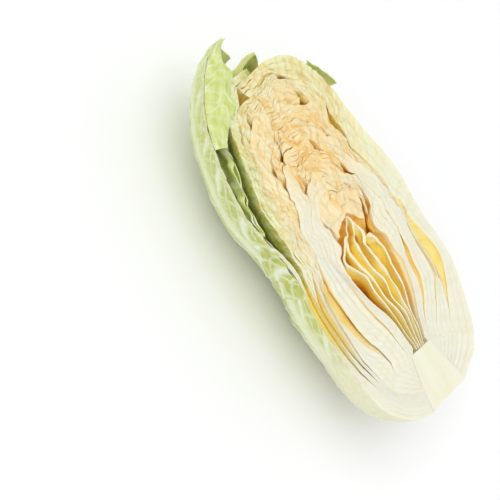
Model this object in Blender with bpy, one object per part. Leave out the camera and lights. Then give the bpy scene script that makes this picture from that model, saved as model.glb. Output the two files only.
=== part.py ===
"""Half a napa cabbage, cut lengthwise and lying on its round back with the cut face up.

The head is modelled round the middle of its heart. +X runs from the cut stem to the crown, +Z is the
normal of the cut face, and azimuths turn from +Y (0) through the back (90) to -Y (180). Every leaf is a
patch of directions from that middle, and the leaves share the flesh between the heart's hollow and the
head's outside, inner leaf first, so neighbours keep a gap wherever they meet. Metres throughout.
"""

import math
from collections import namedtuple

import bmesh
import bpy
import numpy as np

# Driving sizes of the head, from the middle of the heart
CROWN_REACH = 0.198
STEM_REACH = 0.103
HEAD_RADIUS = 0.076
HEART_CROWN_REACH = 0.062
HEART_STEM_REACH = 0.066
HEART_RADIUS = 0.024

# Superellipse powers: how square the outline of the head and the hollow are
CROWN_POWER = 3.0
STEM_POWER = 2.6
HEART_POWER = 1.7

# How fast the layers between hollow and outside take on the head's reach and squareness
REACH_GROWTH = 0.6
SQUARENESS_GROWTH = 0.5
MOST_SHARE = 1.2

# Leaf flesh
BLADE_THICKNESS = 0.0016
GAP = 0.0014
CLEARANCE = 0.0017
RIB_HALF_WIDTH = 0.030
RIB_TIP_HALF_WIDTH = 0.004
RIB_NARROWING = 1.1
RIB_ROUNDNESS = 0.8
RIB_TIP_FADE = 0.45
RIB_FOOT_CLIMB = 0.3
MOST_OF_BAND = 0.82
STEEPEST_SLANT = 2.2
SLANT_STEP = 0.02

# A leaf's room closes past its edge over EDGE_FADE, measured on FADE_LAYER. Over SQUARE_CLIMB past the
# widest point its edge goes over from azimuths to great circles, which WIDEST_SPREAD, in degrees, leaves
# room for.
EDGE_FADE = 0.027
FADE_LAYER = 0.5
SQUARE_CLIMB = math.radians(40)
WIDEST_SPREAD = 89

# Leaf outline: half the foot's turn, then where and how far the tip narrows
FOOT_HALF_TURN = math.radians(56)
BLADE_LAYER = 0.8
WIDEST_SINE = 0.97
TIP_START = 0.82
TIP_NARROWING = 0.80
TIP_POWER = 2.2
TIP_END = 1.3
LEAST_TIP = 0.05
LAST_CLIMB = math.radians(200)

# A leaf within BACK_FACING degrees of straight back ends across the crown on the cut face, where a column may
# slant up to STEEPEST_END. What is nearer the cut plane than FLAT_ENOUGH lies on it.
BACK_FACING = 30
STEEPEST_END = 0.9
FLAT_ENOUGH = 1e-7

# Where leaves join the conical stem core, as an angle from the stem's axis
CORE_ANGLE = math.radians(12.0)
LEAF_START = math.radians(12.7)
CORE_END_GAP = 0.0006
CORE_TOP_X = -0.061
CORE_TOP_ROUNDING = 0.004
STEM_CUT_X = -0.100
STEM_CHAMFER = 0.001
STEM_CHAMFER_WIDTH = 0.97
CORE_INNER_WIDTH = 0.6
CORE_TOP_SHARE = 0.7
CORE_RINGS = 7
CORE_SIDES = 12

# The whole head's bend and skew, which leave the cut face flat
CROWN_LEAN = 0.016
LEAN_START_X = -0.02
LEAN_LENGTH = 0.24
STEM_SKEW = 0.15
SKEW_END_X = 0.06
SKEW_LENGTH = 0.16
SWAY = 0.0016
SWAY_LENGTH = 0.085
SWAY_SHIFT = 14

# How far past the climb where it leaves the head a leaf stands fully off it, and where its edge waves.
# A leaf stands off only towards the head's sides.
FLARE_LENGTH = math.radians(50)
SIDE_START = 0.40
SIDE_SPAN = 0.50
RUFFLE_PACE = 13
RUFFLE_STEP = 2
RUFFLE_EDGE = 0.45
RUFFLE_EDGE_SPAN = 0.5
RUFFLE_CLIMB = 1.2
RUFFLE_CLIMB_SPAN = 0.6

# Folds of the upper leaf: their length, their share of the free room by the cut face and how much calmer
# they get with depth, and the climb where they begin
FOLD_LENGTH = 0.052
FOLD_ROOM = 0.44
FOLD_CALMING = 0.32
CALM_DEPTH = 0.8
FOLD_CLIMB = 1.4
FOLD_CLIMB_SPAN = 0.7
FOLD_STEP = 2.399
FOLD_SLANT = 3.0
FOLD_SPREAD = 2.6
FOLD_SPREAD_STEP = 0.7

# The resting leaf bulges under the head's weight and is pressed flat at this depth
REST_BULGE = 0.0024
REST_BULGE_TURN = 0.9
REST_DEPTH = 0.0743

# How finely leaves are drawn
LEAF_ROWS = 27
LEAST_COLUMNS = 7
COLUMN_WIDTH = 0.0132
FINE_STEPS = 400
SETTLING_ROUNDS = 6
HEART_ROWS = 14
HEART_COLUMNS = 4

# azimuth, reach, spread and leaves_at are in degrees. rib, the midrib's extra thickness, gap, the air under
# the leaf, flare, which lifts the leaf off the head past leaves_at, and ruffle, which waves its free edge,
# are in metres.
Leaf = namedtuple("Leaf", "name azimuth reach spread rib gap flare leaves_at ruffle tint")

LEAVES = (
    Leaf("inner_back_leaf", 84, 186, 66, 0.0020, GAP, 0, 0, 0, "heart_yellow"),
    Leaf("inner_left_leaf", 12, 196, 62, 0.0084, GAP, 0, 0, 0, "rib_cream"),
    Leaf("inner_right_leaf", 170, 190, 62, 0.0055, GAP, 0, 0, 0, "rib_cream"),
    Leaf("second_back_leaf", 103, 186, 66, 0.0025, GAP, 0, 0, 0, "heart_yellow"),
    Leaf("second_left_leaf", -4, 186, 58, 0.0130, GAP, 0, 0, 0, "rib_white"),
    Leaf("second_right_leaf", 184, 188, 58, 0.0080, 0.0020, 0, 0, 0, "rib_white"),
    Leaf("third_back_leaf", 78, 186, 66, 0.0030, GAP, 0, 0, 0, "rib_cream"),
    Leaf("third_right_leaf", 162, 194, 64, 0.0115, GAP, 0, 0, 0, "rib_white"),
    Leaf("third_left_leaf", 14, 188, 64, 0.0095, 0.0040, 0, 0, 0, "rib_white"),
    Leaf("fourth_back_leaf", 112, 186, 62, 0.0030, GAP, 0, 0, 0, "blade_pale"),
    Leaf("fourth_left_leaf", 42, 184, 58, 0.0050, GAP, 0, 0, 0, "blade_pale"),
    Leaf("outer_right_leaf", 171, 187, 60, 0.0115, 0.0050, 0, 0, 0.002, "rib_white"),
    Leaf("crown_left_leaf", 46, 180, 60, 0.0050, 0.0030, 0.008, 130, 0.003, "blade_pale"),
    Leaf("outer_back_right_leaf", 128, 170, 44, 0.0050, GAP, 0.013, 138, 0.002, "blade_green"),
    Leaf("resting_leaf", 81, 177, 50, 0.0045, GAP, 0, 0, 0.002, "blade_green"),
    Leaf("outer_left_leaf", 20, 175, 38, 0.0085, 0.0035, 0.030, 117, 0.004, "blade_green"),
)
REST_NAME = "resting_leaf"

# Young leaves in the hollow: share of the hollow's half width at the foot and the tip, how far and where the
# leaf waves, and tip X
HeartLeaf = namedtuple("HeartLeaf", "name foot_share tip_share wave phase tip_x")
HEART_LEAVES = (
    HeartLeaf("heart_leaf_1", 0.72, 0.68, 0.08, 0.4, 0.036),
    HeartLeaf("heart_leaf_2", 0.36, 0.38, 0.08, 1.9, 0.050),
    HeartLeaf("heart_leaf_3", 0.00, 0.05, 0.09, 2.6, 0.056),
    HeartLeaf("heart_leaf_4", -0.36, -0.32, 0.08, 3.9, 0.047),
    HeartLeaf("heart_leaf_5", -0.72, -0.68, 0.07, 5.0, 0.032),
)
HEART_BLADE = 0.0026
HEART_FOOT_BLADE = 0.0013
HEART_DEPTH_SHARE = 0.80
HEART_FIT = 0.93
HEART_LEAST_FALL = 0.25
HEART_FALL_SPAN = 0.62
HEART_WAVE_PACE = 7.5
HEART_WAVE_SLANT = 1.1
HEART_WAVE_GROWTH = 3
HEART_BLADE_GROWTH = 2.5
HEART_WIDEST_SHARE = 0.86

COLOURS = {
    "rib_white": (0.90, 0.89, 0.78),
    "rib_cream": (0.92, 0.86, 0.66),
    "heart_yellow": (0.93, 0.74, 0.30),
    "blade_pale": (0.84, 0.87, 0.58),
    "blade_green": (0.74, 0.82, 0.50),
    "core_cream": (0.93, 0.91, 0.80),
}
LEAF_ROUGHNESS = 0.42
SHARP_EDGE = math.radians(40)


def smooth(t):
    """The usual smooth step, from 0 to 1."""
    t = np.clip(t, 0.0, 1.0)
    return t * t * (3 - 2 * t)


def outline_radius(directions, share):
    """Distance from the heart's middle to the layer at this share of the flesh, 0 hollow to 1 outside."""
    along = directions[..., 0]
    across = np.hypot(directions[..., 1], directions[..., 2])
    share = np.clip(share, 0.0, MOST_SHARE)
    crown = HEART_CROWN_REACH + (CROWN_REACH - HEART_CROWN_REACH) * share**REACH_GROWTH
    stem = HEART_STEM_REACH + (STEM_REACH - HEART_STEM_REACH) * share
    radius = HEART_RADIUS + (HEAD_RADIUS - HEART_RADIUS) * share
    square = share**SQUARENESS_GROWTH
    crown_power = HEART_POWER + (CROWN_POWER - HEART_POWER) * square
    stem_power = HEART_POWER + (STEM_POWER - HEART_POWER) * square
    reach = np.where(along > 0, crown, stem)
    power = np.where(along > 0, crown_power, stem_power)
    return ((np.abs(along) / reach) ** power + (across / radius) ** power) ** (-1 / power)


def leaf_axes(leaf):
    """Unit vectors out through the leaf's midrib and across it."""
    azimuth = math.radians(leaf.azimuth)
    out = np.array([0.0, math.cos(azimuth), -math.sin(azimuth)])
    across = np.array([0.0, -math.sin(azimuth), -math.cos(azimuth)])
    return out, across


def direction_of(leaf, climb, turn):
    """Unit direction at climb from the stem's axis and turn across the leaf: by azimuth below the widest
    point, and along great circles above it, so that the leaf can close over the crown."""
    out, across = leaf_axes(leaf)
    azimuth = math.radians(leaf.azimuth) + turn
    low = np.stack(
        [-np.cos(climb), np.sin(climb) * np.cos(azimuth), -np.sin(climb) * np.sin(azimuth)], -1
    )
    ahead = np.stack([-np.cos(climb), np.sin(climb) * out[1], np.sin(climb) * out[2]], -1)
    high = ahead * np.cos(turn)[..., None] + across * np.sin(turn)[..., None]
    return np.where((climb <= math.pi / 2)[..., None], low, high)


def climb_and_turn(leaf, directions):
    """The inverse of direction_of."""
    out, across = leaf_axes(leaf)
    outwards = directions @ out
    sideways = directions @ across
    climb = np.arctan2(outwards, -directions[..., 0])
    low_climb = np.arccos(np.clip(-directions[..., 0], -1, 1))
    low_turn = np.arctan2(sideways, outwards)
    high_climb = np.where(climb < 0, climb + 2 * math.pi, climb)
    high_turn = np.arcsin(np.clip(sideways, -1, 1))
    low = directions[..., 0] <= 0
    return np.where(low, low_climb, high_climb), np.where(low, low_turn, high_turn)


def length_share(leaf, climb):
    """0 at the leaf's foot, 1 at its tip."""
    return (climb - LEAF_START) / (math.radians(leaf.reach) - LEAF_START)


def half_turn(leaf, climb):
    """Half the leaf's width at this climb, as a turn: a broad foot, a wider blade and a rounded tip."""
    side = math.radians(leaf.spread)
    foot = min(FOOT_HALF_TURN, side)
    low = foot + (side - foot) * smooth((climb - LEAF_START) / (math.pi / 2 - LEAF_START))
    meridian = np.stack([-np.cos(climb), np.abs(np.sin(climb)), np.zeros_like(climb)], -1)
    radius = outline_radius(meridian, np.full_like(climb, BLADE_LAYER))
    widest = outline_radius(np.array([[0.0, 1.0, 0.0]]), np.array([BLADE_LAYER]))[0]
    high = np.arcsin(np.clip(math.sin(side) * widest / radius, 0, WIDEST_SINE))
    taper = np.clip((length_share(leaf, climb) - TIP_START) / (1 - TIP_START), 0, TIP_END)
    high = high * np.sqrt(np.clip(1 - TIP_NARROWING * taper**TIP_POWER, LEAST_TIP, 1))
    return np.where(climb <= math.pi / 2, low, high)


def presence(leaf, directions):
    """1 where the leaf is, falling to 0 a little past its edge. Past the widest point it goes over from
    azimuths to great circles little by little, so that the edge has no step there."""
    out, across = leaf_axes(leaf)
    climb, turn = climb_and_turn(leaf, directions)
    own_climb = np.arccos(np.clip(-directions[..., 0], -1, 1))
    azimuth = np.abs(np.arctan2(directions @ across, directions @ out))
    above = smooth((own_climb - math.pi / 2) / SQUARE_CLIMB)
    climb = own_climb + (climb - own_climb) * above
    turn = azimuth + (np.abs(turn) - azimuth) * above
    fade = EDGE_FADE / outline_radius(directions, np.full(climb.shape, FADE_LAYER))
    side_fade = np.minimum(fade, math.radians(WIDEST_SPREAD - leaf.spread))
    past_side = (turn - half_turn(leaf, climb)) / side_fade
    past_tip = (climb - math.radians(leaf.reach)) / fade
    return smooth(1 - np.maximum(past_side, 0)) * smooth(1 - np.maximum(past_tip, 0))


def thickness(leaf, directions):
    """The leaf's thickness square to its surface: a thin blade with a broad midrib."""
    climb, turn = climb_and_turn(leaf, directions)
    left = np.clip(1 - length_share(leaf, climb), 0, 1)
    half_width = RIB_TIP_HALF_WIDTH + (RIB_HALF_WIDTH - RIB_TIP_HALF_WIDTH) * left**RIB_NARROWING
    off_rib = np.sin(np.clip(np.abs(turn), 0, math.pi / 2)) * HEAD_RADIUS / half_width
    ring = np.sin(np.clip(climb, RIB_FOOT_CLIMB, math.pi / 2))
    off_rib = np.where(climb < math.pi / 2, off_rib * ring, off_rib)
    rib = leaf.rib * smooth(left / RIB_TIP_FADE) * np.clip(1 - off_rib**2, 0, 1) ** RIB_ROUNDNESS
    return BLADE_THICKNESS + rib


def slant(directions, share):
    """How much longer than its thickness a layer's cut is along a ray from the heart."""
    climb = np.arccos(np.clip(-directions[..., 0], -1, 1))

    def radius(angle):
        meridian = np.stack([-np.cos(angle), np.abs(np.sin(angle)), np.zeros_like(angle)], -1)
        return outline_radius(meridian, share)

    rise = radius(climb + SLANT_STEP) - radius(climb - SLANT_STEP)
    slope = rise / (2 * SLANT_STEP * radius(climb))
    return np.sqrt(1 + np.clip(slope, -STEEPEST_SLANT, STEEPEST_SLANT) ** 2)


def band_of(index, directions):
    """Inner and outer distance of the flesh and air that belong to one leaf, and the layer it is in."""
    portions = np.stack(
        [(thickness(leaf, directions) + leaf.gap) * presence(leaf, directions) for leaf in LEAVES]
    )
    whole = portions.sum(0)
    below = portions[:index].sum(0) / whole
    above = portions[: index + 1].sum(0) / whole
    return outline_radius(directions, below), outline_radius(directions, above), (below + above) / 2


def walked(climb, share):
    """Length along a layer of the head from the stem's axis up to each climb."""
    fine = np.linspace(LEAF_START, LAST_CLIMB, FINE_STEPS)
    meridian = np.stack([-np.cos(fine), np.abs(np.sin(fine)), np.zeros_like(fine)], -1)
    points = meridian * outline_radius(meridian, np.full(fine.shape, share))[:, None]
    length = np.concatenate([[0], np.cumsum(np.linalg.norm(np.diff(points, axis=0), axis=1))])
    return np.interp(climb, fine, length)


def sway_in_band(index, climb, turn, depth):
    """Where the leaf runs in the room that its band leaves it, from 0 to 1: the folds of the upper leaf,
    which are deepest by the cut face."""
    phase = FOLD_STEP * index
    along = walked(climb, (index + 0.5) / len(LEAVES)) * 2 * math.pi / FOLD_LENGTH
    fold = np.sin(along + FOLD_SLANT * turn + phase) * np.cos(FOLD_SPREAD * turn - FOLD_SPREAD_STEP * phase)
    room = FOLD_ROOM - FOLD_CALMING * smooth(depth / CALM_DEPTH)
    return 0.5 + room * smooth((climb - FOLD_CLIMB) / FOLD_CLIMB_SPAN) * fold


def freedom(index, directions):
    """1 where no later leaf lies over this one."""
    free = np.ones(directions.shape[:-1])
    for leaf in LEAVES[index + 1 :]:
        free = free * (1 - presence(leaf, directions))
    return free


def leaf_surfaces(index, directions):
    """Inner and outer distance of the leaf's two faces along each direction."""
    leaf = LEAVES[index]
    climb, turn = climb_and_turn(leaf, directions)
    low, high, share = band_of(index, directions)
    room = high - low - CLEARANCE
    nominal = thickness(leaf, directions)
    ribbed = 1 - BLADE_THICKNESS / nominal
    thick = np.minimum(nominal * slant(directions, share), room * MOST_OF_BAND)
    thick = thick + (room * MOST_OF_BAND - thick) * ribbed
    inner = low + CLEARANCE / 2 + (room - thick) * sway_in_band(index, climb, turn, -directions[..., 2])
    edge = np.abs(turn) / half_turn(leaf, climb)
    across = np.hypot(directions[..., 1], directions[..., 2]) + 1e-9
    sideways = smooth((np.abs(directions[..., 1]) / across - SIDE_START) / SIDE_SPAN)
    opened = leaf.flare * sideways * smooth((climb - math.radians(leaf.leaves_at)) / FLARE_LENGTH)
    waved = leaf.ruffle * (1 + np.sin(RUFFLE_PACE * climb + RUFFLE_STEP * index)) * sideways
    waved = waved * smooth((edge - RUFFLE_EDGE) / RUFFLE_EDGE_SPAN)
    waved = waved * smooth((climb - RUFFLE_CLIMB) / RUFFLE_CLIMB_SPAN)
    bulged = REST_BULGE * (1 - smooth(np.abs(turn) / REST_BULGE_TURN)) if leaf.name == REST_NAME else 0
    raised = (opened + bulged + waved) * freedom(index, directions)
    return inner + raised, inner + raised + thick


def cut_limits(leaf, climb):
    """The least and greatest turn of a leaf at each climb that stays behind the cut face."""
    azimuth = math.radians(leaf.azimuth)
    half = half_turn(leaf, climb)
    low = np.maximum(-half, -azimuth)
    high = np.minimum(half, math.pi - azimuth)
    edge = -np.arctan(np.sin(climb) * math.tan(azimuth))
    above = climb > math.pi / 2
    if math.cos(azimuth) > 0:
        low = np.where(above, np.maximum(-half, edge), low)
        high = np.where(above, half, high)
    else:
        low = np.where(above, -half, low)
        high = np.where(above, np.minimum(half, edge), high)
    return low, high


def evened_climbs(leaf, rows):
    """Climbs from the leaf's foot to its tip, evenly spaced along the leaf."""
    fine = np.linspace(LEAF_START, math.radians(leaf.reach), FINE_STEPS)
    length = walked(fine, BLADE_LAYER)
    return np.interp(np.linspace(0, length[-1], rows), length, fine)


def leaf_directions(leaf, rows, columns):
    """A grid of directions over the part of the leaf that the cut leaves, its foot row first."""
    across = np.linspace(0, 1, columns)
    facing_back = abs(leaf.azimuth - 90) < BACK_FACING
    climb = np.repeat(evened_climbs(leaf, rows)[:, None], columns, 1)
    if facing_back:
        for _ in range(SETTLING_ROUNDS):  # the crown end of each column settles on the cut face
            turn = (2 * across - 1) * half_turn(leaf, climb)
            lean = np.tan(turn[-1]) / math.tan(math.radians(leaf.azimuth))
            limit = math.pi + np.arcsin(np.clip(lean, -STEEPEST_END, STEEPEST_END))
            last = np.minimum(math.radians(leaf.reach), limit)
            share = (climb - LEAF_START) / (climb[-1] - LEAF_START)
            climb = LEAF_START + share * (last - LEAF_START)
        turn = (2 * across - 1) * half_turn(leaf, climb)
    else:
        low, high = cut_limits(leaf, climb)
        turn = low + (high - low) * across
    directions = direction_of(leaf, climb, turn)
    directions[np.abs(directions[..., 2]) < FLAT_ENOUGH, 2] = 0.0
    return directions


def bend_head(points):
    """Leans the crown, skews the stem end and sways the ribs, all without leaving the cut plane."""
    x, y, z = points[..., 0], points[..., 1], points[..., 2]
    lean = CROWN_LEAN * smooth((x - LEAN_START_X) / LEAN_LENGTH)
    sway = SWAY * np.sin(2 * math.pi * x / SWAY_LENGTH + SWAY_SHIFT * y)
    skew = STEM_SKEW * y * smooth((SKEW_END_X - x) / SKEW_LENGTH)
    return np.stack([x - skew, y + lean + sway, z], -1)


def shell_mesh(name, inner, outer):
    """A closed mesh between two grids of points, both split into triangles the same way."""
    rows, columns = inner.shape[:2]
    points = np.concatenate([inner.reshape(-1, 3), outer.reshape(-1, 3)])
    size = rows * columns
    faces = []
    for row in range(rows - 1):
        for column in range(columns - 1):
            a = row * columns + column
            b, c, d = a + 1, a + columns + 1, a + columns
            for face in ((a, b, c), (a, c, d)):
                faces.append(face)
                faces.append(tuple(size + corner for corner in reversed(face)))
    rim = list(range(columns))
    rim += [row * columns + columns - 1 for row in range(1, rows)]
    rim += [(rows - 1) * columns + column for column in range(columns - 2, -1, -1)]
    rim += [row * columns for row in range(rows - 2, 0, -1)]
    for here, after in zip(rim, rim[1:] + rim[:1]):
        faces.append((here, size + here, size + after))
        faces.append((here, size + after, after))
    return mesh_object(name, points, faces)


def mesh_object(name, points, faces):
    """A new object with its faces turned outwards."""
    mesh = bpy.data.meshes.new(name)
    mesh.from_pydata([tuple(point) for point in points], [], faces)
    shaping = bmesh.new()
    shaping.from_mesh(mesh)
    bmesh.ops.recalc_face_normals(shaping, faces=shaping.faces)
    shaping.to_mesh(mesh)
    shaping.free()
    mesh.shade_smooth()
    mesh.set_sharp_from_angle(angle=SHARP_EDGE)
    made = bpy.data.objects.new(name, mesh)
    bpy.context.scene.collection.objects.link(made)
    return made


def make_leaf(index):
    """One leaf of the head, as a closed shell that ends flat on the cut face."""
    leaf = LEAVES[index]
    low, high = cut_limits(leaf, np.array([math.pi / 2]))
    radius = HEART_RADIUS + (HEAD_RADIUS - HEART_RADIUS) * math.sqrt((index + 1) / len(LEAVES))
    columns = max(LEAST_COLUMNS, round(float(high[0] - low[0]) * radius / COLUMN_WIDTH) + 1)
    directions = leaf_directions(leaf, LEAF_ROWS, columns)
    near, far = leaf_surfaces(index, directions)
    inner = bend_head(directions * near[..., None])
    outer = bend_head(directions * far[..., None])
    if leaf.name == REST_NAME:
        outer[..., 2] = np.maximum(outer[..., 2], -REST_DEPTH)
    return shell_mesh(leaf.name, inner, outer)


def make_core():
    """The stem's cone, which every leaf grows from, cut across below and lengthwise in front."""
    wide, narrow = (-x * math.tan(CORE_ANGLE) for x in (STEM_CUT_X, CORE_TOP_X))
    profile = [
        (STEM_CUT_X, 0.0),
        (STEM_CUT_X, wide * CORE_INNER_WIDTH),
        (STEM_CUT_X + STEM_CHAMFER, wide * STEM_CHAMFER_WIDTH),
    ]
    for share in np.linspace(0, 1, CORE_RINGS + 1)[1:]:
        profile.append((STEM_CUT_X + (CORE_TOP_X - STEM_CUT_X) * share, wide + (narrow - wide) * share))
    profile.append((CORE_TOP_X + CORE_TOP_ROUNDING * CORE_TOP_SHARE, narrow * CORE_INNER_WIDTH))
    profile.append((CORE_TOP_X + CORE_TOP_ROUNDING, 0.0))
    turns = np.linspace(0, math.pi, CORE_SIDES + 1)
    points, rings = [], []
    for x, radius in profile:
        if radius == 0:
            rings.append([len(points)] * len(turns))
            points.append((x, 0.0, 0.0))
            continue
        rings.append([len(points) + step for step in range(len(turns))])
        points += [(x, radius * math.cos(turn), -radius * math.sin(turn)) for turn in turns]
    faces = []
    for below, above in zip(rings, rings[1:]):
        for step in range(len(turns) - 1):
            faces += [(below[step], below[step + 1], above[step + 1])]
            faces += [(below[step], above[step + 1], above[step])]
        faces += [(below[0], above[0], above[-1]), (below[0], above[-1], below[-1])]
    whole = [face for face in faces if len(set(face)) == 3]
    points = np.array(points)
    points[np.abs(points[:, 2]) < FLAT_ENOUGH, 2] = 0.0
    return mesh_object("stem_core", bend_head(points), whole)


def hollow_radius(x):
    """The heart hollow's radius at this place along it."""
    reach = np.where(x > 0, HEART_CROWN_REACH, HEART_STEM_REACH)
    return HEART_RADIUS * np.clip(1 - (np.abs(x) / reach) ** HEART_POWER, 0, 1) ** (1 / HEART_POWER)


def make_heart_leaf(leaf):
    """A young leaf standing in the hollow, a wavy sheet that runs down from the cut face."""
    foot_x = CORE_TOP_X + CORE_TOP_ROUNDING + CORE_END_GAP
    along = np.linspace(0, 1, HEART_ROWS)[:, None]
    deep = np.linspace(0, 1, HEART_COLUMNS)[None, :]
    x = foot_x + (leaf.tip_x - foot_x) * along + 0 * deep
    radius = hollow_radius(x) * HEART_FIT
    fall = HEART_DEPTH_SHARE * np.sin(math.pi * (HEART_LEAST_FALL + HEART_FALL_SPAN * along)) * deep
    share = leaf.foot_share + (leaf.tip_share - leaf.foot_share) * along
    wave = np.sin(HEART_WAVE_PACE * along + leaf.phase + HEART_WAVE_SLANT * deep)
    share = share + leaf.wave * wave * smooth(along * HEART_WAVE_GROWTH)
    half_width = np.sqrt(np.clip(1 - fall**2, 0, 1)) * radius
    blade = HEART_FOOT_BLADE + (HEART_BLADE - HEART_FOOT_BLADE) * smooth(along * HEART_BLADE_GROWTH)
    y = np.clip(share, -HEART_WIDEST_SHARE, HEART_WIDEST_SHARE) * (half_width - blade)
    z = -fall * radius
    sides = [np.stack([x, y + side * blade / 2, z], -1) for side in (-1, 1)]
    return shell_mesh(leaf.name, bend_head(sides[0]), bend_head(sides[1]))


def paint(made, tint):
    """Gives the object a material of its own in its tint."""
    material = bpy.data.materials.new(f"{made.name}_{tint}")
    material.use_nodes = True
    shader = material.node_tree.nodes["Principled BSDF"]
    shader.inputs["Base Color"].default_value = (*COLOURS[tint], 1)
    shader.inputs["Roughness"].default_value = LEAF_ROUGHNESS
    shader.inputs["Metallic"].default_value = 0
    made.data.materials.append(material)


def stand_on_origin(objects):
    """Moves the half so that the origin is under the middle of its box, on the surface it lies on."""
    corners = np.array([tuple(v.co) for made in objects for v in made.data.vertices])
    low, high = corners.min(0), corners.max(0)
    shift = (-(low[0] + high[0]) / 2, -(low[1] + high[1]) / 2, -low[2])
    for made in objects:
        for vertex in made.data.vertices:
            vertex.co = [place + move for place, move in zip(vertex.co, shift)]


def main():
    for old in list(bpy.data.objects):
        bpy.data.objects.remove(old)
    made = [make_core()]
    paint(made[0], "core_cream")
    for index, leaf in enumerate(LEAVES):
        made.append(make_leaf(index))
        paint(made[-1], leaf.tint)
    for leaf in HEART_LEAVES:
        made.append(make_heart_leaf(leaf))
        paint(made[-1], "heart_yellow")
    stand_on_origin(made)


main()
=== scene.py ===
"""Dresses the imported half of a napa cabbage: finely folded leaves with veins, wet ribs and a warm heart.

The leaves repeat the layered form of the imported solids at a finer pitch. Distances are in metres, in the head's
own frame, whose middle is the middle of the heart, until place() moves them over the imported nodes. A ray is a
unit direction from there, a climb its angle from the stem's axis, and a turn its angle across a leaf. A pair
for ramp() or fall() says where a change starts and over how much it spreads.
"""

import math
from collections import namedtuple

import bpy
import numpy as np
from mathutils import Matrix, Vector


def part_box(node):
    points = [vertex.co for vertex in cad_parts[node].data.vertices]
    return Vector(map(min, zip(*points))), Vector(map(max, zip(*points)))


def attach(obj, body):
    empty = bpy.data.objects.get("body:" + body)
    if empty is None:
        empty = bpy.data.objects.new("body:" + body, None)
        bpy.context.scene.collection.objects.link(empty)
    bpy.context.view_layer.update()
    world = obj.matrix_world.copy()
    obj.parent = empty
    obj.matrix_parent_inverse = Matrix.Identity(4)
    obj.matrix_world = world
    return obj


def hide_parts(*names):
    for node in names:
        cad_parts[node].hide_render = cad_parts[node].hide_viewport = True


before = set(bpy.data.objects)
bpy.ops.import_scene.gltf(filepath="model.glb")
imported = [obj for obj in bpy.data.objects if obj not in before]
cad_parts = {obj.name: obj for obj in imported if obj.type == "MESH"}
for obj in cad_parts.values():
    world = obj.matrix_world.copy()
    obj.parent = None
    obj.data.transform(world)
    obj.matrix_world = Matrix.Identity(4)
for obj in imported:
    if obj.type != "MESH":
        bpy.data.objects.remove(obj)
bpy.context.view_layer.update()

# The head's form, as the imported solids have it
CROWN_REACH = 0.198
STEM_REACH = 0.103
HEAD_RADIUS = 0.076
HEART_CROWN_REACH = 0.062
HEART_STEM_REACH = 0.066
HEART_RADIUS = 0.024
CROWN_POWER = 3.0
STEM_POWER = 2.6
HEART_POWER = 1.7
REACH_GROWTH = 0.6
SQUARENESS_GROWTH = 0.5
MOST_SHARE = 1.2
BLADE_THICKNESS = 0.0016
GAP = 0.0014
RIB_HALF_WIDTH = 0.030
RIB_TIP_HALF_WIDTH = 0.004
RIB_NARROWING = 1.1
RIB_ROUNDNESS = 0.8
RIB_TIP_FADE = 0.45
RIB_FOOT_CLIMB = 0.3
EDGE_FADE = 0.027
FADE_LAYER = 0.5
SQUARE_CLIMB = math.radians(40)
WIDEST_SPREAD = 89
FOOT_HALF_TURN = math.radians(56)
BLADE_LAYER = 0.8
WIDEST_SINE = 0.97
TIP_START = 0.82
TIP_SPAN = 0.18
TIP_NARROWING = 0.80
TIP_POWER = 2.2
TIP_END = 1.3
LEAST_TIP = 0.05
LEAF_START = math.radians(12.7)
LAST_CLIMB = math.radians(200)
FINE_STEPS = 400
BACK_AZIMUTH = 90
BACK_FACING = 30
STEEPEST_END = 0.9
SETTLING_ROUNDS = 6
FLAT_ENOUGH = 1e-7
NEVER_ZERO = 1e-9
CORE_ANGLE = math.radians(12.0)
CORE_END_GAP = 0.0006
CORE_TOP_X = -0.061
CORE_TOP_ROUNDING = 0.004
STEM_CUT_X = -0.100
STEM_CHAMFER = 0.001
STEM_CHAMFER_WIDTH = 0.97
CORE_INNER_WIDTH = 0.6
CORE_TOP_SHARE = 0.7
CORE_RINGS = 7
CORE_SIDES = 12
CROWN_LEAN = 0.016
LEANS = (-0.02, 0.24)
STEM_SKEW = 0.15
SKEW_END_X = 0.06
SKEW_LENGTH = 0.16
SWAY = 0.0016
SWAY_LENGTH = 0.085
SWAY_SHIFT = 14
FLARE_LENGTH = math.radians(50)
SIDEWAYS = (0.40, 0.50)
RUFFLE_PACE = 13
RUFFLE_STEP = 2
RUFFLE_EDGE = (0.45, 0.5)
RUFFLE_CLIMB = (1.2, 0.6)
REST_BULGE = 0.0024
REST_BULGE_TURN = 0.9

# A leaf fills the air past the edge of the one below it this fast
TAKES_UP_AIR = 2.6

Leaf = namedtuple(
    "Leaf", "name azimuth reach spread rib warmth green gap flare leaves_at ruffle", defaults=(GAP, 0, 0, 0)
)

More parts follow.
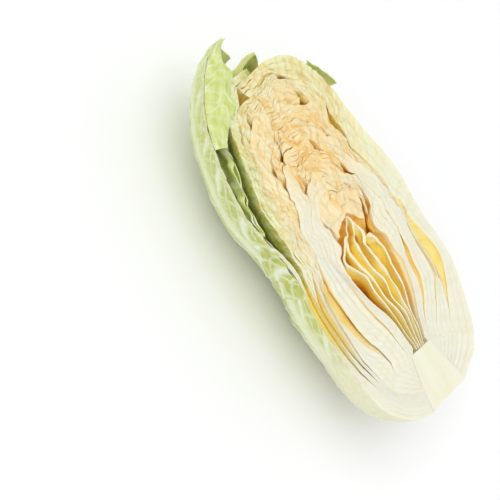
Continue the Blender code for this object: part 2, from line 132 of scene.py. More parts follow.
# Warmth is how orange the leaf's deep faces are, partly painted shade in the slits, and green is how green its
# blade is
LEAVES = (
    Leaf("inner_back_leaf", 84, 186, 66, 0.0020, 1.0, 0.0),
    Leaf("inner_left_leaf", 12, 196, 62, 0.0084, 1.0, 0.0),
    Leaf("inner_right_leaf", 170, 190, 62, 0.0055, 1.0, 0.0),
    Leaf("second_back_leaf", 103, 186, 66, 0.0025, 0.9, 0.0),
    Leaf("second_left_leaf", -4, 186, 58, 0.0130, 0.9, 0.0),
    Leaf("second_right_leaf", 184, 188, 58, 0.0080, 0.9, 0.0, gap=0.0020),
    Leaf("third_back_leaf", 78, 186, 66, 0.0030, 0.7, 0.05),
    Leaf("third_right_leaf", 162, 194, 64, 0.0115, 0.7, 0.05),
    Leaf("third_left_leaf", 14, 188, 64, 0.0095, 0.7, 0.3, gap=0.0040),
    Leaf("fourth_back_leaf", 112, 186, 62, 0.0030, 0.4, 0.3),
    Leaf("fourth_left_leaf", 42, 184, 58, 0.0050, 0.4, 0.7),
    Leaf("outer_right_leaf", 171, 187, 60, 0.0115, 0.3, 0.35, gap=0.0050, ruffle=0.002),
    Leaf("crown_left_leaf", 46, 180, 60, 0.0050, 0.1, 1.0, 0.0030, 0.008, 130, 0.003),
    Leaf("outer_back_right_leaf", 128, 170, 44, 0.0050, 0.0, 0.9, flare=0.013, leaves_at=138, ruffle=0.002),
    Leaf("resting_leaf", 81, 177, 50, 0.0045, 0.0, 0.9, ruffle=0.002),
    Leaf("outer_left_leaf", 20, 175, 38, 0.0085, 0.0, 1.0, 0.0035, 0.030, 117, 0.004),
)
FIRST_OUTER_LEAF = 9
REST_NAME = "resting_leaf"
# The free leaf's tip curls in over the crown by this much
CURLED_NAME = "outer_left_leaf"
CURL = 0.013
CURLS = (0.115, 0.09)
# The leaf whose outside shows in the gap behind the free leaf
BARED_NAME = "crown_left_leaf"

# How finely each leaf is drawn
ROWS = 300
COLUMNS = 40
CUT_CROWDING = 2.6
BACK_ROWS = 132
BACK_COLUMNS = 92
BACK_CROWDING = 1.6
SHEETS = 3
RIM_STEPS = 5
THIN_RIM_STEPS = 2
SHARP_EDGE = math.radians(48)

# A random field by its height, wavelength and first seed
Wave = namedtuple("Wave", "height length seed")
ALONG = (1.0, 0.0)
LEVEL = (1, 1, 0)
UPRIGHT = (1, 0, 1)

# The curve that turns a screen's colour into light
SCREEN_STEPS = 255
DARK_END = 0.04045
DARK_SLOPE = 12.92
LIGHT_SHIFT = 0.055
LIGHT_POWER = 2.4


def linear(*colour):
    """A screen colour as light."""
    value = np.array(colour) / SCREEN_STEPS
    light = ((value + LIGHT_SHIFT) / (1 + LIGHT_SHIFT)) ** LIGHT_POWER
    return np.where(value <= DARK_END, value / DARK_SLOPE, light)


IVORY = linear(240, 238, 217)
CREAM = linear(250, 238, 200)
PEACH = linear(247, 214, 148)
ORANGE = linear(255, 209, 86)
GOLD = linear(251, 226, 92)
OLIVE = linear(178, 182, 62)
LIGHT_GREEN = linear(220, 231, 160)
SKIN_GREEN = linear(220, 225, 160)
VEIN_MINT = linear(237, 244, 220)
PALE_MINT = linear(233, 240, 198)
PATCH_GREEN = linear(193, 201, 98)
TIP_GREEN = linear(190, 210, 104)
YOUNG_YELLOW = linear(255, 233, 118)
HEART_SHADE_ORANGE = linear(255, 190, 70)


def mix(first, second, share):
    """Between two colours, or fields of colours, by a share or a field of shares."""
    share = np.asarray(share, float)[..., None]
    return first * (1 - share) + second * share


def with_mask(tone, mask):
    """Colours with a last value, which says how far each point belongs to the crumpled crown, and so how much
    peach fold shade is painted on it.
    """
    return np.concatenate([tone, np.broadcast_to(mask, tone.shape[:-1])[..., None]], -1)


def smooth(t):
    """0 below 0, 1 above 1 and a soft curve between."""
    t = np.clip(t, 0.0, 1.0)
    return t * t * (3 - 2 * t)


def ramp(value, change):
    """0 before a change and 1 after it."""
    start, span = change
    return smooth((value - start) / span)


def fall(value, change):
    """1 before a change and 0 after it."""
    return 1 - ramp(value, change)


def bell(value, width):
    """1 at 0, falling off on both sides."""
    return np.exp(-((value / width) ** 2))


# How many sines make a random field, how their paces differ, and how much they even each other out
RIPPLE_SINES = 7
RIPPLE_PACES = (0.7, 1.4)
RIPPLE_SPREAD = 1.6


def ripple(points, length, seed):
    """A smooth random field of about this wavelength, mostly between -1 and 1."""
    draw = np.random.default_rng(seed)
    total = np.zeros(points.shape[:-1])
    for _ in range(RIPPLE_SINES):
        heading = draw.normal(size=points.shape[-1])
        heading /= np.linalg.norm(heading)
        pace = 2 * math.pi / (length * draw.uniform(*RIPPLE_PACES))
        total += np.sin(points @ heading * pace + draw.uniform(0, 2 * math.pi))
    return total / math.sqrt(RIPPLE_SINES * RIPPLE_SPREAD)


def wave(points, kind, shift=0):
    """A random field of one kind. The shift gives another field of that kind."""
    return kind.height * ripple(points, kind.length, kind.seed + shift)


def waves(points, kinds, shift=0):
    """Random fields of several kinds on top of each other."""
    return sum(wave(points, kind, shift) for kind in kinds)


def outline_radius(rays, share):
    """Distance from the middle of the heart to the layer at this share of the flesh, 0 hollow to 1 outside."""
    along = rays[..., 0]
    across = np.hypot(rays[..., 1], rays[..., 2])
    share = np.clip(share, 0.0, MOST_SHARE)
    crown = HEART_CROWN_REACH + (CROWN_REACH - HEART_CROWN_REACH) * share**REACH_GROWTH
    stem = HEART_STEM_REACH + (STEM_REACH - HEART_STEM_REACH) * share
    radius = HEART_RADIUS + (HEAD_RADIUS - HEART_RADIUS) * share
    crown_power = HEART_POWER + (CROWN_POWER - HEART_POWER) * share**SQUARENESS_GROWTH
    stem_power = HEART_POWER + (STEM_POWER - HEART_POWER) * share**SQUARENESS_GROWTH
    reach = np.where(along > 0, crown, stem)
    power = np.where(along > 0, crown_power, stem_power)
    return ((np.abs(along) / reach) ** power + (across / radius) ** power) ** (-1 / power)


def meridian(climb):
    """Rays at these climbs in one plane through the stem's axis."""
    return np.stack([-np.cos(climb), np.abs(np.sin(climb)), np.zeros_like(climb)], -1)


def leaf_axes(leaf):
    """The direction that the leaf faces, and the one across it."""
    azimuth = math.radians(leaf.azimuth)
    out = np.array([0.0, math.cos(azimuth), -math.sin(azimuth)])
    across = np.array([0.0, -math.sin(azimuth), -math.cos(azimuth)])
    return out, across


def leans_right(leaf):
    """Whether the leaf meets the cut face on the right of the heart."""
    return math.cos(math.radians(leaf.azimuth)) < 0


def ray_at(leaf, climb, turn):
    """The ray at a climb and a turn across the leaf."""
    out, across = leaf_axes(leaf)
    azimuth = math.radians(leaf.azimuth) + turn
    low = np.stack([-np.cos(climb), np.sin(climb) * np.cos(azimuth), -np.sin(climb) * np.sin(azimuth)], -1)
    ahead = np.stack([-np.cos(climb), np.sin(climb) * out[1], np.sin(climb) * out[2]], -1)
    high = ahead * np.cos(turn)[..., None] + across * np.sin(turn)[..., None]
    rays = np.where((climb <= math.pi / 2)[..., None], low, high)
    rays[np.abs(rays[..., 2]) < FLAT_ENOUGH, 2] = 0.0
    return rays


def climb_and_turn(leaf, rays):
    """The inverse of ray_at."""
    out, across = leaf_axes(leaf)
    outwards = rays @ out
    sideways = rays @ across
    climb = np.arctan2(outwards, -rays[..., 0])
    low_climb = np.arccos(np.clip(-rays[..., 0], -1, 1))
    low_turn = np.arctan2(sideways, outwards)
    high_climb = np.where(climb < 0, climb + 2 * math.pi, climb)
    high_turn = np.arcsin(np.clip(sideways, -1, 1))
    low = rays[..., 0] <= 0
    return np.where(low, low_climb, high_climb), np.where(low, low_turn, high_turn)


def length_share(leaf, climb):
    """How far along the leaf a climb is, 0 at its foot to 1 at its tip."""
    return (climb - LEAF_START) / (math.radians(leaf.reach) - LEAF_START)


def half_turn(leaf, climb):
    """Half the leaf's width at this climb, as a turn: a broad foot, a wider blade and a rounded tip."""
    side = math.radians(leaf.spread)
    foot = min(FOOT_HALF_TURN, side)
    low = foot + (side - foot) * smooth((climb - LEAF_START) / (math.pi / 2 - LEAF_START))
    radius = outline_radius(meridian(climb), BLADE_LAYER)
    widest = outline_radius(np.array([0.0, 1.0, 0.0]), BLADE_LAYER)
    high = np.arcsin(np.clip(math.sin(side) * widest / radius, 0, WIDEST_SINE))
    taper = np.clip((length_share(leaf, climb) - TIP_START) / TIP_SPAN, 0, TIP_END)
    high = high * np.sqrt(np.clip(1 - TIP_NARROWING * taper**TIP_POWER, LEAST_TIP, 1))
    return np.where(climb <= math.pi / 2, low, high)


def presence(leaf, rays):
    """1 where the leaf is, falling to 0 a little past its edge, and how far past its edge each ray is."""
    out, across = leaf_axes(leaf)
    climb, turn = climb_and_turn(leaf, rays)
    own_climb = np.arccos(np.clip(-rays[..., 0], -1, 1))
    azimuth = np.abs(np.arctan2(rays @ across, rays @ out))
    above = smooth((own_climb - math.pi / 2) / SQUARE_CLIMB)
    climb = own_climb + (climb - own_climb) * above
    turn = azimuth + (np.abs(turn) - azimuth) * above
    fade = EDGE_FADE / outline_radius(rays, FADE_LAYER)
    side_fade = np.minimum(fade, math.radians(WIDEST_SPREAD - leaf.spread))
    past_side = (turn - half_turn(leaf, climb)) / side_fade
    past_tip = (climb - math.radians(leaf.reach)) / fade
    there = smooth(1 - np.maximum(past_side, 0)) * smooth(1 - np.maximum(past_tip, 0))
    return there, np.maximum(past_side, past_tip)


def thickness(leaf, rays):
    """The leaf's thickness square to its surface: a thin blade with a broad midrib."""
    climb, turn = climb_and_turn(leaf, rays)
    left = np.clip(1 - length_share(leaf, climb), 0, 1)
    half_width = RIB_TIP_HALF_WIDTH + (RIB_HALF_WIDTH - RIB_TIP_HALF_WIDTH) * left**RIB_NARROWING
    off_rib = np.sin(np.clip(np.abs(turn), 0, math.pi / 2)) * HEAD_RADIUS / half_width
    spread_out = np.sin(np.clip(climb, RIB_FOOT_CLIMB, math.pi / 2))
    off_rib = np.where(climb < math.pi / 2, off_rib * spread_out, off_rib)
    rib = leaf.rib * smooth(left / RIB_TIP_FADE) * np.clip(1 - off_rib**2, 0, 1) ** RIB_ROUNDNESS
    return BLADE_THICKNESS + rib


def band_of(index, rays):
    """The inner distance of one leaf with the air that the leaves below it leave past their edges, the inner
    and outer distance of its own flesh and air, and the share of the flesh at its middle."""
    portions, gone = [], []
    for leaf in LEAVES:
        there, past = presence(leaf, rays)
        portions.append((thickness(leaf, rays) + leaf.gap) * there)
        gone.append(smooth(past * TAKES_UP_AIR))
    portions = np.stack(portions)
    whole = portions.sum(0)
    under = portions[:index].sum(0)
    above = portions[: index + 1].sum(0) / whole
    air, chain = np.zeros_like(whole), np.ones_like(whole)
    for lower in range(index - 1, -1, -1):
        chain = chain * gone[lower]
        air += portions[lower] * chain
    below = under / whole
    filled = (under - air) / whole
    layers = [outline_radius(rays, share) for share in (filled, below, above)]
    return *layers, (below + above) / 2


def walked(climb):
    """Length along a layer of the head from the stem's axis up to each climb."""
    fine = np.linspace(LEAF_START, LAST_CLIMB, FINE_STEPS)
    points = meridian(fine) * outline_radius(meridian(fine), BLADE_LAYER)[:, None]
    length = np.concatenate([[0], np.cumsum(np.linalg.norm(np.diff(points, axis=0), axis=1))])
    return np.interp(climb, fine, length)


def freedom(index, rays):
    """1 where no later leaf lies over this one."""
    free = np.ones(rays.shape[:-1])
    for leaf in LEAVES[index + 1 :]:
        free = free * (1 - presence(leaf, rays)[0])
    return free


BARE_MARGIN = 0.25
BARE_SHARPNESS = 5


def uncovered(index, rays):
    """1 where no later leaf hides this one, which is a little nearer to their edges than freedom."""
    bare = np.ones(rays.shape[:-1])
    for leaf in LEAVES[index + 1 :]:
        bare = bare * smooth((presence(leaf, rays)[1] + BARE_MARGIN) * BARE_SHARPNESS)
    return bare


def cut_limits(leaf, climb):
    """The least and greatest turn of a leaf at each climb that stays behind the cut face."""
    azimuth = math.radians(leaf.azimuth)
    half = half_turn(leaf, climb)
    low = np.maximum(-half, -azimuth)
    high = np.minimum(half, math.pi - azimuth)
    edge = -np.arctan(np.sin(climb) * math.tan(azimuth))
    above = climb > math.pi / 2
    if leans_right(leaf):
        low = np.where(above, -half, low)
        high = np.where(above, np.minimum(half, edge), high)
    else:
        low = np.where(above, np.maximum(-half, edge), low)
        high = np.where(above, half, high)
    return low, high


def graded(count, crowding):
    """Shares from 0 to 1 that crowd towards 0."""
    even = np.linspace(0, 1, count)
    return (np.exp(crowding * even) - 1) / (math.exp(crowding) - 1)


# How ragged the tips of the flared leaves are, and how the tear changes across and along them
TORN_TIP = Wave(1.0, 0.35, 60)
TORN_STRETCH = (1.0, 0.3)
TORN_SHARE = 0.016


def leaf_rays(leaf):
    """A fine grid of rays over the part of the leaf that the cut leaves, crowded towards the cut face."""
    reach = math.radians(leaf.reach)
    fine = np.linspace(LEAF_START, reach, FINE_STEPS)
    length = walked(fine)
    if abs(leaf.azimuth - BACK_AZIMUTH) < BACK_FACING:
        across = 2 * np.linspace(0, 1, BACK_COLUMNS) - 1
        spaced = 1 - graded(BACK_ROWS, BACK_CROWDING)[::-1]
        climb = np.repeat(np.interp(spaced * length[-1], length, fine)[:, None], BACK_COLUMNS, 1)
        for _ in range(SETTLING_ROUNDS):
            slope = np.tan((across * half_turn(leaf, climb))[-1]) / math.tan(math.radians(leaf.azimuth))
            limit = math.pi + np.arcsin(np.clip(slope, -STEEPEST_END, STEEPEST_END))
            share = (climb - LEAF_START) / (climb[-1] - LEAF_START)
            climb = LEAF_START + share * (np.minimum(reach, limit) - LEAF_START)
        return ray_at(leaf, climb, across * half_turn(leaf, climb))
    across = graded(COLUMNS, CUT_CROWDING)
    if leans_right(leaf):
        across = 1 - across[::-1]
    climb = np.repeat(np.interp(np.linspace(0, length[-1], ROWS), length, fine)[:, None], COLUMNS, 1)
    if leaf.flare:
        torn = 1 + wave(across[:, None] * TORN_STRETCH, TORN_TIP, leaf.azimuth)
        climb = LEAF_START + (climb - LEAF_START) * (1 - TORN_SHARE * torn)
    low, high = cut_limits(leaf, climb)
    return ray_at(leaf, climb, low + (high - low) * across)


def bend_head(points):
    """Leans the crown, skews the stem end and sways the ribs, all without leaving the cut plane."""
    x, y, z = points[..., 0], points[..., 1], points[..., 2]
    lean = CROWN_LEAN * ramp(x, LEANS)
    sway = SWAY * np.sin(2 * math.pi * x / SWAY_LENGTH + SWAY_SHIFT * y)
    skew = STEM_SKEW * y * smooth((SKEW_END_X - x) / SKEW_LENGTH)
    return np.stack([x - skew, y + lean + sway, z], -1)


# How the hollow's half width changes towards the crown and the stem, where along the head and how far round it
HEART_WIDER = 0.42
WIDER_FROM = (-0.005, 0.045)
WIDER_UNTIL = (0.058, 0.03)
HEART_NARROWER = 0.34
NARROWER_FROM = (-0.064, 0.012)
NARROWER_UNTIL = (-0.04, 0.06)
ROUND_HEART = (0.018, 0.038)
# How far the middle of the crown is raised, where along the head, and where the raise ends past the skin
CROWN_RAISED = 0.009
RAISED_FROM = (0.11, 0.07)
PAST_SKIN = (1.02, 0.06)


def swell(points, outwards):
    """Narrows the heart's hollow by the stem and widens it by the crown, and raises the middle of the crown."""
    x, y, z = points[..., 0], points[..., 1], points[..., 2]
    near = fall(np.hypot(y, z), ROUND_HEART)
    wide = HEART_WIDER * ramp(x, WIDER_FROM) * fall(x, WIDER_UNTIL)
    narrow = HEART_NARROWER * fall(x, NARROWER_UNTIL) * ramp(x, NARROWER_FROM)
    raised = CROWN_RAISED * ramp(x, RAISED_FROM) * fall(outwards, PAST_SKIN)
    return np.stack([x + raised, y * (1 + (wide - narrow) * near), z], -1)


# The crown's folds across and along the head, and the fainter ones lower down
CRUMPLED = (-0.01, 0.07)
UNDER_SKIN = (0.80, 0.16)
BROAD_FOLDS = (Wave(0.0022, 0.026, 11), Wave(0.0009, 0.0105, 31))
LOW_FOLDS = Wave(0.0005, 0.016, 51)
LOW_STRETCH = (0.35, 1, 1)
# The folds over the heart, which run along the head
HEART_FOLDS = (Wave(1.0, 0.0165, 77), Wave(0.45, 0.0085, 78))
HEART_FOLD_HEIGHT = 0.0034
HEART_FOLD_STRETCH = (0.20, 1, 0.45)
FOLDED_FROM = (0.05, 0.05)
FOLDED_LESS = (0.10, 0.06)
LEAST_FOLDED = 0.45


def crumple(points, outwards):
    """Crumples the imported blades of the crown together, so that neighbouring layers fold alike. Over the heart
    the folds run along the head, and the layers shear past one another in them. The outside keeps its form."""
    x = points[..., 0]
    upper = ramp(x, CRUMPLED)
    inside = fall(outwards, UNDER_SKIN)
    moved = points.copy()
    for axis in (0, 1):
        lower = wave(points * LOW_STRETCH, LOW_FOLDS, axis)
        moved[..., axis] += (waves(points, BROAD_FOLDS, axis) * upper + lower * (1 - upper)) * inside
    over = ramp(x, FOLDED_FROM) * inside * (LEAST_FOLDED + (1 - LEAST_FOLDED) * fall(x, FOLDED_LESS))
    moved[..., 0] += HEART_FOLD_HEIGHT * waves(points * HEART_FOLD_STRETCH, HEART_FOLDS) * over
    return moved


# The side veins, and the finer ones between them
Vein = namedtuple("Vein", "slope spacing width height")
VEINS = (Vein(1.3, 0.027, 0.0032, 1.0), Vein(-0.3, 0.0125, 0.0012, 0.45), Vein(2.4, 0.0135, 0.0014, 0.45))
VEIN_BEND = 5.0
VEIN_DRIFT = Wave(0.004, 0.05, 800)
VEIN_START = (0.004, 0.008)
TRUNK_TIP_WIDTH = 0.004
TRUNK_WIDENING = 0.011
TRUNK_HEIGHT = 0.8
PUFFS = Wave(1.0, 0.011, 801)


def vein_map(leaf, climb, flat):
    """Height of the veins on the leaf's outer side, 0 to 1, and the soft puffs of the blade between them."""
    length, lateral = flat[..., 0], flat[..., 1]
    side = np.abs(lateral)
    left = np.clip(1 - length_share(leaf, climb), 0, 1)
    drift = wave(flat, VEIN_DRIFT, LEAVES.index(leaf))
    network = np.zeros_like(side)
    for vein in VEINS:
        lane = (length - vein.slope * side + VEIN_BEND * vein.slope * side**2 + drift) / vein.spacing
        off = np.abs(lane - np.round(lane)) * vein.spacing
        network = np.maximum(network, vein.height * bell(off, vein.width))
    network = network * ramp(side, VEIN_START)
    trunk = TRUNK_HEIGHT * bell(lateral, TRUNK_TIP_WIDTH + TRUNK_WIDENING * left)
    return np.maximum(network, trunk), wave(flat, PUFFS, LEAVES.index(leaf))


RIB_LOOK = 1.3
RIB_CREAM = 0.85
RIB_TURNS_CREAM = (0.055, 0.075)


def rib_share(ribbed, x):
    """How much a point of a leaf looks like its rib: the white flesh turns cream towards the crown."""
    return smooth(ribbed * RIB_LOOK) * (1 - RIB_CREAM * ramp(x, RIB_TURNS_CREAM))


# Where the slits between the leaves open along the head
OPENS = (-0.060, 0.055)
# Where the cut face's colours are, how strong they are, and how the deeper ones come up: under the cut the
# blades' own gold, orange, olive or peach, deepened with depth as painted shade in the slits
UPPER_LOOKS = (0.0, 0.11)
PEACH_Y = 0.006
PEACH_WIDTH = 0.038
PEACH_UNTIL = (0.14, 0.05)
FACE_PEACH = 0.38
OUTER_LAYERS = (0.58, 0.40)
OUTER_MINT = 0.80
GREEN_LEAF_MINT = 0.45
DEEP_OLIVE = 0.8
DEEP_PEACH = 0.45
GREEN_DEPTHS = (2.0, 0.5)
GREEN_DEPTH_SHARE = 0.65
DEPTH_SHADE_FROM = (0.0005, 0.0042)
DEEP_BY_STEM = 0.15
MARGIN_FADES = 0.75
RIB_STAYS_PALE = 0.15


def tone_of(leaf, drawn, points, margin):
    """The colour of each point of a leaf, from where it is and how deep under the cut face: the deeper colour is
    partly the blade's own colour and partly painted shade, which grows with depth into the slits. The margin is
    how much of the deeper colour already shows at the cut."""
    depth, x = -points[..., 2], points[..., 0]
    upper = ramp(x, UPPER_LOOKS)
    rib = rib_share(drawn.ribbed, x)
    blade = upper * (1 - rib)
    middle = bell(points[..., 1] - PEACH_Y, PEACH_WIDTH) * fall(x, PEACH_UNTIL)
    face = mix(mix(IVORY, CREAM, blade), PEACH, FACE_PEACH * middle * blade)
    outer = OUTER_MINT * ramp(drawn.share, OUTER_LAYERS) * upper
    face = mix(face, PALE_MINT, np.clip(outer + GREEN_LEAF_MINT * leaf.green * blade, 0, 1))
    low_deep = mix(GOLD, ORANGE, leaf.warmth)
    high_deep = mix(mix(low_deep, OLIVE, DEEP_OLIVE * leaf.green), PEACH, DEEP_PEACH * (1 - leaf.green))
    deep = mix(low_deep, high_deep, upper)
    if leaf.flare or leaf.name == REST_NAME:
        deep = mix(deep, LIGHT_GREEN, GREEN_DEPTH_SHARE * ramp(drawn.climb, GREEN_DEPTHS))
    opened = ramp(x, OPENS)
    # painted shade: below the cut the faces turn towards the deep colour with depth, as shade falls into the
    # slits, less by the stem where the slits are shut
    under = ramp(depth, DEPTH_SHADE_FROM) * (DEEP_BY_STEM + (1 - DEEP_BY_STEM) * opened)
    under = np.maximum(under, margin * opened * (1 - MARGIN_FADES * upper))
    return mix(face, deep, under * (1 - RIB_STAYS_PALE * rib))


# Where the green patches between the veins start, and how the outside pales by the stem and the crown
PATCH_EDGE = 1.6
PATCHES = (0.9, 0.5)
PATCH_STRENGTH = 0.75
STEM_END_GREEN = 0.30
STEM_END = (0.95, 0.75)
PALE_TIP = (2.3, 0.7)
PALE_TIP_SHARE = 0.5


def skin_tone(leaf, climb, veins, puffs):
    """The colour of a leaf's outside: mint veins over a green blade, ivory towards the stem."""
    between = smooth(1 - PATCH_EDGE * veins) * ramp(climb, PATCHES)
    between = between * (PATCH_STRENGTH + (1 - PATCH_STRENGTH) * puffs)
    skin = mix(SKIN_GREEN, PATCH_GREEN, np.clip(between, 0, 1))
    skin = mix(skin, VEIN_MINT, veins)
    skin = mix(mix(IVORY, SKIN_GREEN, STEM_END_GREEN), skin, ramp(climb, STEM_END))
    return mix(skin, LIGHT_GREEN, PALE_TIP_SHARE * ramp(climb, PALE_TIP) * leaf.green)


# How wide the slits are beside the ribs and between the blades, as shares of the leaf's room
WIDE_SLITS = (1.5, 0.20)
NARROW_SLITS = (1.4, 0.10)
LEAST_SLIT = 0.0001
BLADE_SLITS = (1.75, 0.6)
PARTING = Wave(1.0, 0.22, 40)
PARTING_LEAST = 0.45
# How deep the slits go before they shut, which is less by the stem
STEM_SHUT = (-0.075, 0.07)
SLIT_DEPTH = 0.0004
SLIT_FADE = 0.0012
SLIT_FADE_GROWTH = 0.0028
MOSTLY_SHUT = 0.95


def slits(leaf, rays, climb, low, room, slit_share):
    """Width of the air under a leaf, and how open it is at each depth."""
    x = -np.cos(climb) * low
    depth = -rays[..., 2] * (low + room)
    off_stem = ramp(x, STEM_SHUT)
    into = (depth - SLIT_DEPTH - SLIT_DEPTH * off_stem) / (SLIT_FADE + SLIT_FADE_GROWTH * off_stem)
    shut = 1 - MOSTLY_SHUT * smooth(into)
    by_rib, by_blade = WIDE_SLITS if leaf.gap > GAP else NARROW_SLITS
    opened = ramp(x, OPENS)
    rib_slit = room * slit_share * opened * by_rib + LEAST_SLIT * opened
    parting = np.maximum(wave(rays, PARTING, LEAVES.index(leaf)) - PARTING_LEAST, 0)
    blade_slit = room * by_blade * parting
    return (rib_slit + (blade_slit - rib_slit) * ramp(climb, BLADE_SLITS)) * shut, shut


# Other flared leaves than the curled one come back to the head at their tips
TIP_RETURN = 0.92
TIP_RETURNS = (0.84, 0.13)
FRILL = Wave(0.0016, 0.016, 900)
FRILLED_EDGE = (0.6, 0.4)


def lifted(leaf, rays, climb, turn, flat):
    """How far a leaf's free part stands off: flared, ruffled and frilled, or bulged where the half rests."""
    across = np.hypot(rays[..., 1], rays[..., 2]) + NEVER_ZERO
    sideways = ramp(np.abs(rays[..., 1]) / across, SIDEWAYS)
    edge = np.abs(turn) / half_turn(leaf, climb)
    away = leaf.flare * sideways * smooth((climb - math.radians(leaf.leaves_at)) / FLARE_LENGTH)
    if leaf.name != CURLED_NAME:
        away = away * (1 - TIP_RETURN * ramp(length_share(leaf, climb), TIP_RETURNS))
    ruffle = 1 + np.sin(RUFFLE_PACE * climb + RUFFLE_STEP * LEAVES.index(leaf))
    waved = leaf.ruffle * ruffle * ramp(edge, RUFFLE_EDGE) * sideways
    frill = wave(flat, FRILL, LEAVES.index(leaf)) * ramp(edge, FRILLED_EDGE)
    bulged = REST_BULGE * (1 - smooth(np.abs(turn) / REST_BULGE_TURN)) if leaf.name == REST_NAME else 0
    return away + bulged + (waved + frill) * ramp(climb, RUFFLE_CLIMB)


# Where the flared leaves and the resting one are only as thick as their flesh, as nothing lies over them
FLARED_THIN = (1.9, 0.6)
REST_THIN = (2.35, 0.35)
THICKEST_FREE = 1.15
# How the blades part into sheets at the crown, how the sheets wander, and the air between them
PARTED = (1.45, 0.5)
RIB_WHOLE = 1.6
FREE_WHOLE = 0.85
WANDERS = (Wave(0.32, 0.022, 0), Wave(0.16, 0.008, 50))
WANDER_SEEDS = 100
MOST_WANDER = 0.42
SHEET_AIR = 0.075
SHEET_AIRS = Wave(1.0, 0.019, 300)
SHEET_AIR_SEEDS = 9
SHEET_AIR_LEAST = 0.35
LEAST_SHEET_AIR = 0.004
# How far each sheet's edge lies below the cut face, and how deep that reaches
RECESS = 0.0005
RECESSES = Wave(1.0, 0.02, 700)
RECESS_SEEDS = 10
RECESS_DEPTH = 0.006
# Relief of the outside
OUTSIDE = (0.0012, 0.003)
VEIN_RELIEF = 0.0011
PUFF_RELIEF = 0.0004
RELIEF = (0.5, 0.6)

Drawn = namedtuple("Drawn", "climb share ribbed flat radial veins puffs outside shells")


def leaf_shells(index):
    """The leaf's sheets as grids of inner and outer points, with what their colours need."""
    leaf = LEAVES[index]
    rays = leaf_rays(leaf)
    climb, turn = climb_and_turn(leaf, rays)
    filled, low, outer, share = band_of(index, rays)
    nominal = thickness(leaf, rays)
    ribbed = 1 - BLADE_THICKNESS / nominal
    slit, shut = slits(leaf, rays, climb, low, outer - low, leaf.gap / (nominal + leaf.gap))
    outside = uncovered(index, rays) * ramp(-rays[..., 2] * outer, OUTSIDE)
    inner = filled + slit
    free = freedom(index, rays)
    lateral = turn * outline_radius(rays, share) * np.where(climb < math.pi / 2, np.sin(climb), 1)
    flat = np.stack([walked(climb), lateral], -1)
    loose = 0
    if leaf.flare:
        loose = free * ramp(climb, FLARED_THIN)
    elif leaf.name == REST_NAME:
        loose = free * ramp(climb, REST_THIN)
    own = np.minimum(outer - inner, nominal * THICKEST_FREE)
    raised = lifted(leaf, rays, climb, turn, flat) * free
    inner = inner + (outer - own - inner) * loose + raised
    outer = outer + raised
    parted = ramp(climb, PARTED) * (1 - smooth(ribbed * RIB_WHOLE)) * (1 - FREE_WHOLE * free)
    cuts = [np.zeros_like(climb)]
    for split in range(1, SHEETS):
        wander = waves(flat, WANDERS, WANDER_SEEDS * index + split)
        cuts.append((split + np.clip(wander, -MOST_WANDER, MOST_WANDER) * parted) / SHEETS)
    cuts.append(np.ones_like(climb))
    shells = []
    for sheet in range(SHEETS):
        airy = np.maximum(wave(flat, SHEET_AIRS, SHEET_AIR_SEEDS * index + sheet) - SHEET_AIR_LEAST, 0.0)
        part = SHEET_AIR * parted * shut * airy + LEAST_SHEET_AIR * parted
        near = inner + (outer - inner) * (cuts[sheet] + (part if sheet else 0))
        far = inner + (outer - inner) * (cuts[sheet + 1] - (part if sheet < SHEETS - 1 else 0))
        recess = RECESS * (1 + wave(flat, RECESSES, RECESS_SEEDS * index + sheet)) * parted
        faces = []
        for distance in (near, far):
            outwards = distance / outline_radius(rays, 1.0)
            points = crumple(swell(bend_head(rays * distance[..., None]), outwards), outwards)
            if leaf.name == CURLED_NAME:
                points[..., 1] -= CURL * ramp(points[..., 0], CURLS)
            points[..., 2] -= recess * np.exp(points[..., 2] / RECESS_DEPTH)
            faces.append(points)
        shells.append(faces)
    veins, puffs = vein_map(leaf, climb, flat)
    lift = (VEIN_RELIEF * veins + PUFF_RELIEF * puffs) * outside * ramp(climb, RELIEF)
    shells[-1][1] += rays * lift[..., None]
    return Drawn(climb, share, ribbed, flat, (near + far) / 2, veins, puffs, outside, shells)


def core_half_widths():
    """The stem core's half width at the cut stem and at its top."""
    return (-x * math.tan(CORE_ANGLE) for x in (STEM_CUT_X, CORE_TOP_X))


def core_points():
    """The stem core's outline points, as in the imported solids, to find where the head's middle lies."""
    wide, narrow = core_half_widths()
    profile = [
        (STEM_CUT_X, 0.0),
        (STEM_CUT_X, wide * CORE_INNER_WIDTH),
        (STEM_CUT_X + STEM_CHAMFER, wide * STEM_CHAMFER_WIDTH),
    ]
    for share in np.linspace(0, 1, CORE_RINGS + 1)[1:]:
        profile.append((STEM_CUT_X + (CORE_TOP_X - STEM_CUT_X) * share, wide + (narrow - wide) * share))
    profile.append((CORE_TOP_X + CORE_TOP_ROUNDING * CORE_TOP_SHARE, narrow * CORE_INNER_WIDTH))
    profile.append((CORE_TOP_X + CORE_TOP_ROUNDING, 0.0))
    turns = np.linspace(0, math.pi, CORE_SIDES + 1)
    points = [(x, radius * math.cos(turn), -radius * math.sin(turn)) for x, radius in profile for turn in turns]
    return bend_head(np.array(points))


MIDDLE = np.array(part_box("stem_core")[1]) - core_points().max(0)


def shell_volume(points, quads):
    """Signed volume of a closed set of quads, positive where they face outwards."""
    corners = points[quads]
    first = np.einsum("ij,ij->i", corners[:, 0], np.cross(corners[:, 1], corners[:, 2]))
    second = np.einsum("ij,ij->i", corners[:, 0], np.cross(corners[:, 2], corners[:, 3]))
    return (first + second).sum() / 6


